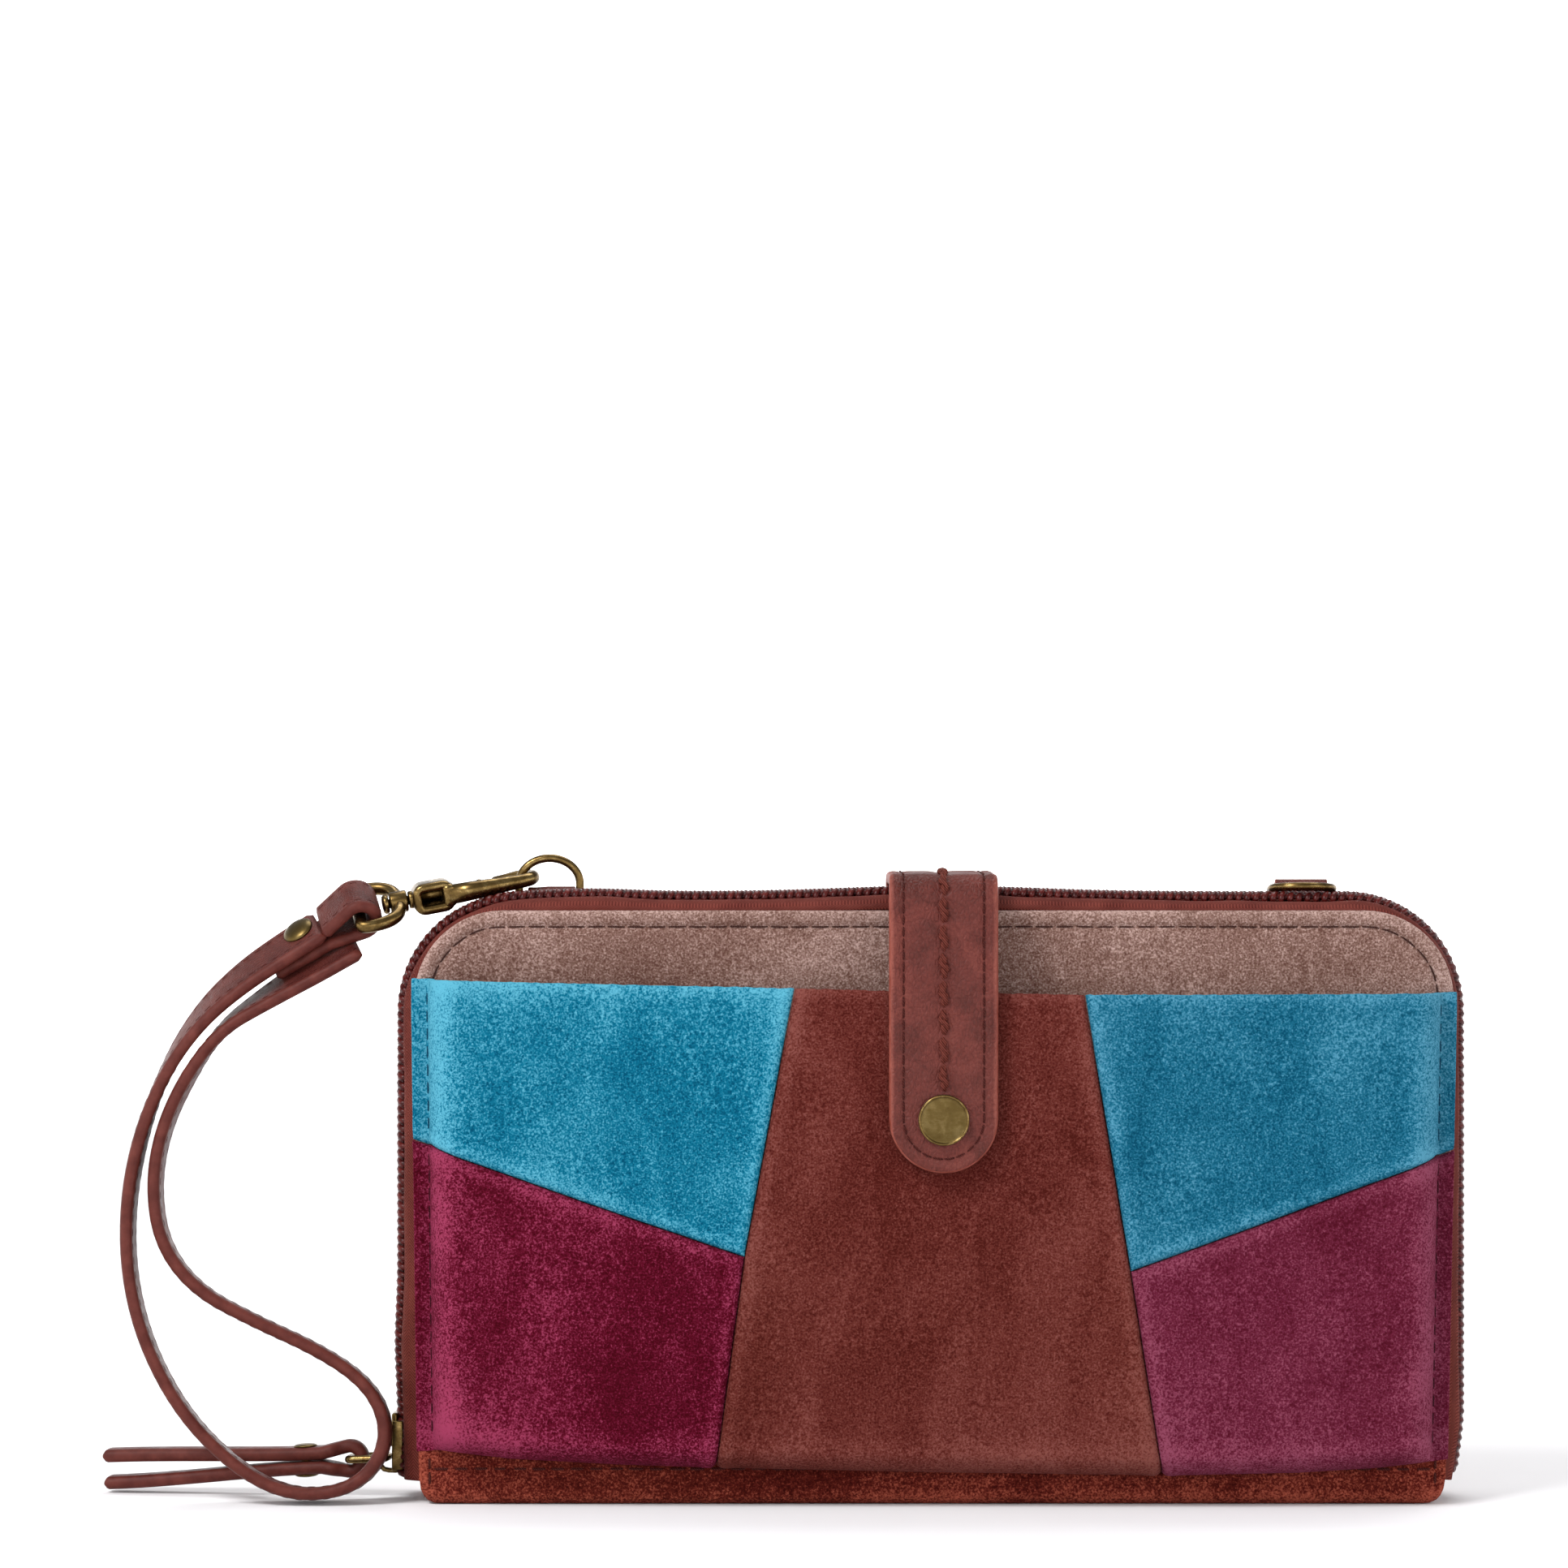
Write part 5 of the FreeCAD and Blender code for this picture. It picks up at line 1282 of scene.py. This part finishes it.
def zip_pull():
    pivot, axes = pull_frame()

    def place(points):
        return pivot + points @ axes

    layer, radius, meet, spread = PULL_THICK / 2 + 0.04, 2.45, 12.6, 2.75
    turn = math.atan2(layer, meet - PULL_FOLD) + math.acos(radius / math.hypot(meet - PULL_FOLD, layer))
    tail = [(x, layer + (spread - layer) * smooth_step((x - meet - 3) / (PULL_LONG - meet - 3)))
            for x in np.linspace(PULL_LONG, meet, 40)]
    arc = turned((PULL_FOLD, 0), radius, math.degrees(turn), 360 - math.degrees(turn), 30)
    sag = [(x, z - 0.25 * smooth_step((x - 24) / 30)) for x, z in tail]
    low = [(x, -z - 0.12 * math.sin((x - meet) / 13)) for x, z in reversed(tail)]
    flat_line = resample(np.array([(x, 0, z) for x, z in sag + arc + low]), 0.4)
    line = place(flat_line)
    wide = PULL_WIDE - 2.4 * np.exp(-(np.maximum(flat_line[:, 0] - 7.0, 0) / 2.6) ** 4)
    leather = Shape()
    strap_run(leather, line, axes[1], wide, PULL_THICK)
    leather.piece("zip_pull_leather", [STRAP_LEATHER, STRAP_EDGE], "grain_leather", "zip_pull",
                  ["pull_strap"])
    metal = Shape()
    corners = np.array([(x, y, 0) for x, y in rounded_box(0, PULL_FOLD, 2.5, 1.0)])
    tube(metal, place(corners), 0.78, 14, closed=True)
    metal.piece("zip_pull_link", [METAL], "antique_brass", "zip_pull", ["pull_link"])
    rivet = Shape()
    cap = [(0, 3.25), (1.0, 3.22), (1.8, 3.1), (2.2, 2.92), (2.3, 2.8), (2.2, 2.62), (1.0, 2.6)]
    lathe(rivet, cap + [(r, -h) for r, h in reversed(cap)], pivot + axes[0] * PULL_RIVET, axes[2], 36)
    rivet.piece("zip_pull_rivet", [CAP_METAL], "antique_brass", "zip_pull", ["pull_rivet"])


# ---- inside -----------------------------------------------------------------------------------
HEM_SEAM = 4.1                  # of the inner pockets, from their top


def cloth_sheet(node, suffix, cloth, body, outward, slot_name, thick):
    """An upright sheet inside the wallet, with a sewn hem along its top."""
    (_, y_low, low), (half, y_high, high) = corner_mm(node)
    y = y_high if outward > 0 else y_low
    columns, rows = 90, 60
    grid = np.zeros((rows, columns, 3))
    for i, t in enumerate(bunched(rows, 0.4)):
        for j, u in enumerate(np.linspace(-1, 1, columns)):
            x, z = u * half, high + (low - high) * t
            droop = 0.35 * (1 - u * u) * (1 - t) + 0.15 * ripple(x, z, 30, y)
            fold = 0.18 * gauss(high - z - 1.6, 1.5) - 0.14 * gauss(high - z - HEM_SEAM, 0.5)
            grid[i, j] = (x, y + outward * (fold * 0.8 + 0.04 * ripple(x, z, 9, 3.0)), z - droop)
    sheet = Shape()
    slab(sheet, grid, thick, 0.1, towards=(0, outward, 0))
    row = np.array([[x, y - outward * 0.02, high - HEM_SEAM - 0.35 * (1 - (x / half) ** 2)]
                    for x in np.linspace(-half + 1, half - 1, 80)])
    stitches(sheet, row, (0, outward, 0), 3.0, 0.74, 0.16, 0.08, 1)
    sheet.piece(f"{node}_{suffix}", [cloth, THREAD], slot_name, body, [node])


def interior():
    for node, body in (("front_lining", "front_cover"), ("back_lining", "root")):
        low, high = corner_mm(node)
        face, back = (high[1], low[1]) if body == "front_cover" else (low[1], high[1])
        lining = Shape()
        plate(lining, high[0], low[2], high[2], 12.0, 1.0, face, back, 0.3,
              lambda x, z, d: 0.12 * ripple(x, z, 22, 5.0))
        lining.piece(f"{node}_cloth", [LINING], "lining_fabric", body, [node])
    for part, body, outward, count in (("front", "front_cover", 1, 2), ("back", "root", -1, 3)):
        for n in range(1, count + 1):
            cloth_sheet(f"{part}_card_pocket_{n}", "cloth", LINING, body, outward, "lining_fabric", 0.5)
    coin_pocket()
    for name, side in (("left", -1), ("right", 1)):
        gusset(name, side)


def coin_pocket():
    for part, outward in (("front", -1), ("back", 1)):
        cloth_sheet(f"coin_pocket_{part}", "wall", POCKET_CLOTH, "coin_pocket", outward, "pocket_fabric", 0.8)
    low, high = corner_mm("coin_pocket_binding")
    half, foot, head = high[0] - 0.6, low[2] + 0.8, high[2] - 0.4
    binding = Shape()
    left = [(-half, head)] + turned((3 - half, foot + 3), 3, 180, 270, 8)
    path = resample([(x, 0, z) for x, z in left + [(-x, z) for x, z in reversed(left)]], 1.5)
    tube(binding, path, 1.15, 10, 0, up=np.array([0, 1.0, 0]), flat=1.25)
    inner = path * [0.985, 1, 1] + [0, -1.5, 0.2]
    stitches(binding, inner, (0, -1, 0), 3.0, 0.7, 0.18, 0.1, 1)
    binding.piece("coin_binding", [TAPE, THREAD], "pocket_fabric", "coin_pocket", ["coin_pocket_binding"])
    low, high = corner_mm("coin_zip_tape")
    grid = np.array([[[x, -0.45, z] for x in np.linspace(low[0], high[0], 60)]
                     for z in np.linspace(high[2] + 0.4, low[2], 8)])
    tape = Shape()
    slab(tape, grid, 0.9, 0.1, towards=FORWARD)
    tape.piece("coin_tape_cloth", [TAPE], "zip_tape", "coin_pocket", ["coin_zip_tape"])
    low, high = corner_mm("coin_zip_coil")
    coil = Shape()
    tooth = ((0.85, 0.0), (0.9, 0.6), (0.6, 1.0), (0.1, 1.0), (-0.1, 0.6))
    for side in (-1, 1):
        for x in np.arange(low[0] + 1 + (side + 1) * 0.4, high[0] - 1, TOOTH_PITCH):
            turn = [(x, side * y, low[2] + h) for y, h in tooth]
            tube(coil, turn, 0.36, 6, 0, up=np.array([1.0, 0, 0]), flat=1.1)
    tube(coil, [(low[0] + 0.5, 0, low[2] + 0.2), (high[0] - 0.5, 0, low[2] + 0.2)], 0.55, 8, 1)
    coil.piece("coin_coil_teeth", [COIL, THREAD], "zip_coil", "coin_pocket", ["coin_zip_coil"])


def gusset(name, side):
    """Fabric wall with a fold inwards."""
    node = f"side_gusset_{name}"
    low, high = corner_mm(node)
    grid = np.zeros((36, 30, 3))
    for i, z in enumerate(np.linspace(high[2], low[2], 36)):
        for j, t in enumerate(np.linspace(-1, 1, 30)):
            fold = 3.2 * (1 - abs(t)) ** 1.1 * (0.85 + 0.15 * ripple(z, t, 20, 4))
            dip = 0.9 * (1 - t * t) * (z - low[2]) / (high[2] - low[2])
            grid[i, j] = (side * (95.6 - fold), t * high[1], z - dip)
    wall = Shape()
    slab(wall, grid, 0.5, 0.1, towards=(side, 0, 0))
    piece = wall.piece(f"{node}_cloth", [LINING], "lining_fabric", replaces=[node])
    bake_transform(piece)


# ---- hook, gate and swivel --------------------------------------------------------------------
ALONG = unit(joint("swivel_turn")["axis"])
HOOK_NOSE = np.array(joint("hook_swing")["pos_m"]) / MM
HOOK_FRONT = -unit(joint("hook_swing")["axis"])
HOOK_UP = np.cross(-HOOK_FRONT, ALONG)
EYE_UP = np.cross(EYE_BAR, ALONG)


def hook_place(points):
    return HOOK_NOSE + np.asarray(points, float) @ np.array([ALONG, HOOK_FRONT, HOOK_UP])


def eye_place(points):
    return HOOK_NOSE + np.asarray(points, float) @ np.array([ALONG, -EYE_BAR, EYE_UP])


def smoothed(points, rounds=3):
    """Corner cutting that turns a closed run of points into a soft curve."""
    points = np.asarray(points, float)
    for _ in range(rounds):
        after = np.roll(points, -1, axis=0)
        points = np.stack([points * 0.75 + after * 0.25, points * 0.25 + after * 0.75], axis=1).reshape(-1, 3)
    return points


def hook_body():
    body = Shape()
    bend = 2.9
    arc = turned((0, 0), bend, 90, 270, 30)
    path = [(13.9, bend), (9.0, bend), (4.5, bend)] + arc + [(2.0, -bend), (4.4, -bend), (4.9, -bend)]
    wide = [2.0, 1.85, 1.56] + [1.34] * len(arc) + [1.15, 1.0, 0.7]
    tube(body, hook_place([(x, y, 0) for x, y in path]), wide, 18, up=HOOK_UP)
    deep = 5.8
    band = hook_place([(x, 1.05, z) for x, z in rounded_box(13.7, 20.05, 2.15, 1.3)])
    strap_run(body, band, HOOK_FRONT, deep, 1.9, (0, 0), closed=True)
    block(body, (12.6, -1.8, -2.3), (15.2, 4.4, 2.3), 1.1, hook_place, segments=4)
    block(body, (19.4, -2.8, -1.7), (20.7, 2.8, 1.7), 0.6, hook_place, segments=4)
    # A plate of the nearly black brass behind the window of the hook's base: painted shade in it.
    block(body, (13.9, -2.0, -1.8), (19.9, -1.6, 1.8), 0.1, hook_place, 1)
    sleeve = [(0, 19.0), (1.0, 18.95), (1.0, 12.75), (1.25, 12.6), (1.6, 12.75), (1.85, 13.1), (1.85, 19.3),
              (1.4, 19.7), (0, 19.75)]
    lathe(body, sleeve, hook_place([(0, -bend, 0)])[0], ALONG, 24)
    hub = [(0, 20.2), (1.7, 20.3), (1.75, 21.4), (1.55, 21.62), (0.9, 21.65), (0.9, 25.5), (1.5, 25.52),
           (1.85, 25.75), (1.9, 26.3), (1.6, 26.7), (0.9, 26.82), (0, 26.85)]
    lathe(body, hub, HOOK_NOSE, ALONG, 32)
    body.piece("hook_casting", [METAL, WINDOW_SHADE_METAL], "antique_brass", "hook", ["hook_body"])
    gate = Shape()
    bar = [(0, 5.1), (0.45, 5.12), (0.75, 5.35), (0.82, 5.8), (0.82, 13.9), (0.6, 14.3), (0, 14.3)]
    lathe(gate, bar, hook_place([(0, -bend, 0)])[0], ALONG, 24)
    knob = [(0, 2.2), (0.5, 2.15), (0.8, 1.9), (0.85, 1.5), (0.6, 1.2), (0.5, 0.4), (0, 0.3)]
    lathe(gate, knob, hook_place([(7.2, -bend, 0)])[0], -HOOK_FRONT, 24)
    gate.piece("hook_gate_bar", [METAL], "antique_brass", "hook_gate", ["hook_gate"])


def swivel_eye():
    eye = Shape()
    barrel = [(0.95, 21.85), (1.85, 21.88), (2.08, 22.0), (2.15, 22.25), (2.15, 23.5), (2.15, 24.9),
              (2.08, 25.15), (1.85, 25.28), (0.95, 25.3)]
    lathe(eye, barrel, HOOK_NOSE, ALONG, 36)
    half = [(23.6, 0.6), (23.7, 2.6), (24.4, 4.6), (26.2, 6.2), (28.6, 6.75), (30.9, 6.75), (31.9, 6.0),
            (31.75, 4.0), (31.7, 1.5)]
    points = [(x, y, 0) for x, y in half] + [(x, -y, 0) for x, y in reversed(half)]
    tube(eye, eye_place(smoothed(points)), 1.28, 16, closed=True, up=EYE_UP)
    eye.piece("swivel_eye_bow", [METAL], "antique_brass", "swivel_eye", ["swivel_eye"])


# ---- everything ----------------------------------------------------------------------------------
def dress_metal():
    """CAD parts whose shape is right keep it and get their material."""
    for name, obj in frame["nodes"].items():
        if not obj.hide_render:
            obj.data.materials.clear()
            obj.data.materials.append(BOARD if name == "spine_board" else METAL)


camera()
wrist_strap()
studio()
cover_panels()
spine_wrap()
pocket()
for dress in (zip_tape, zip_coil):
    dress(-1, "front_cover", "front")
    dress(1, "root", "back")
zip_slider()
closure_tab()
ring_loop("left")
ring_loop("right")
zip_pull()
hook_body()
swivel_eye()
interior()
dress_metal()
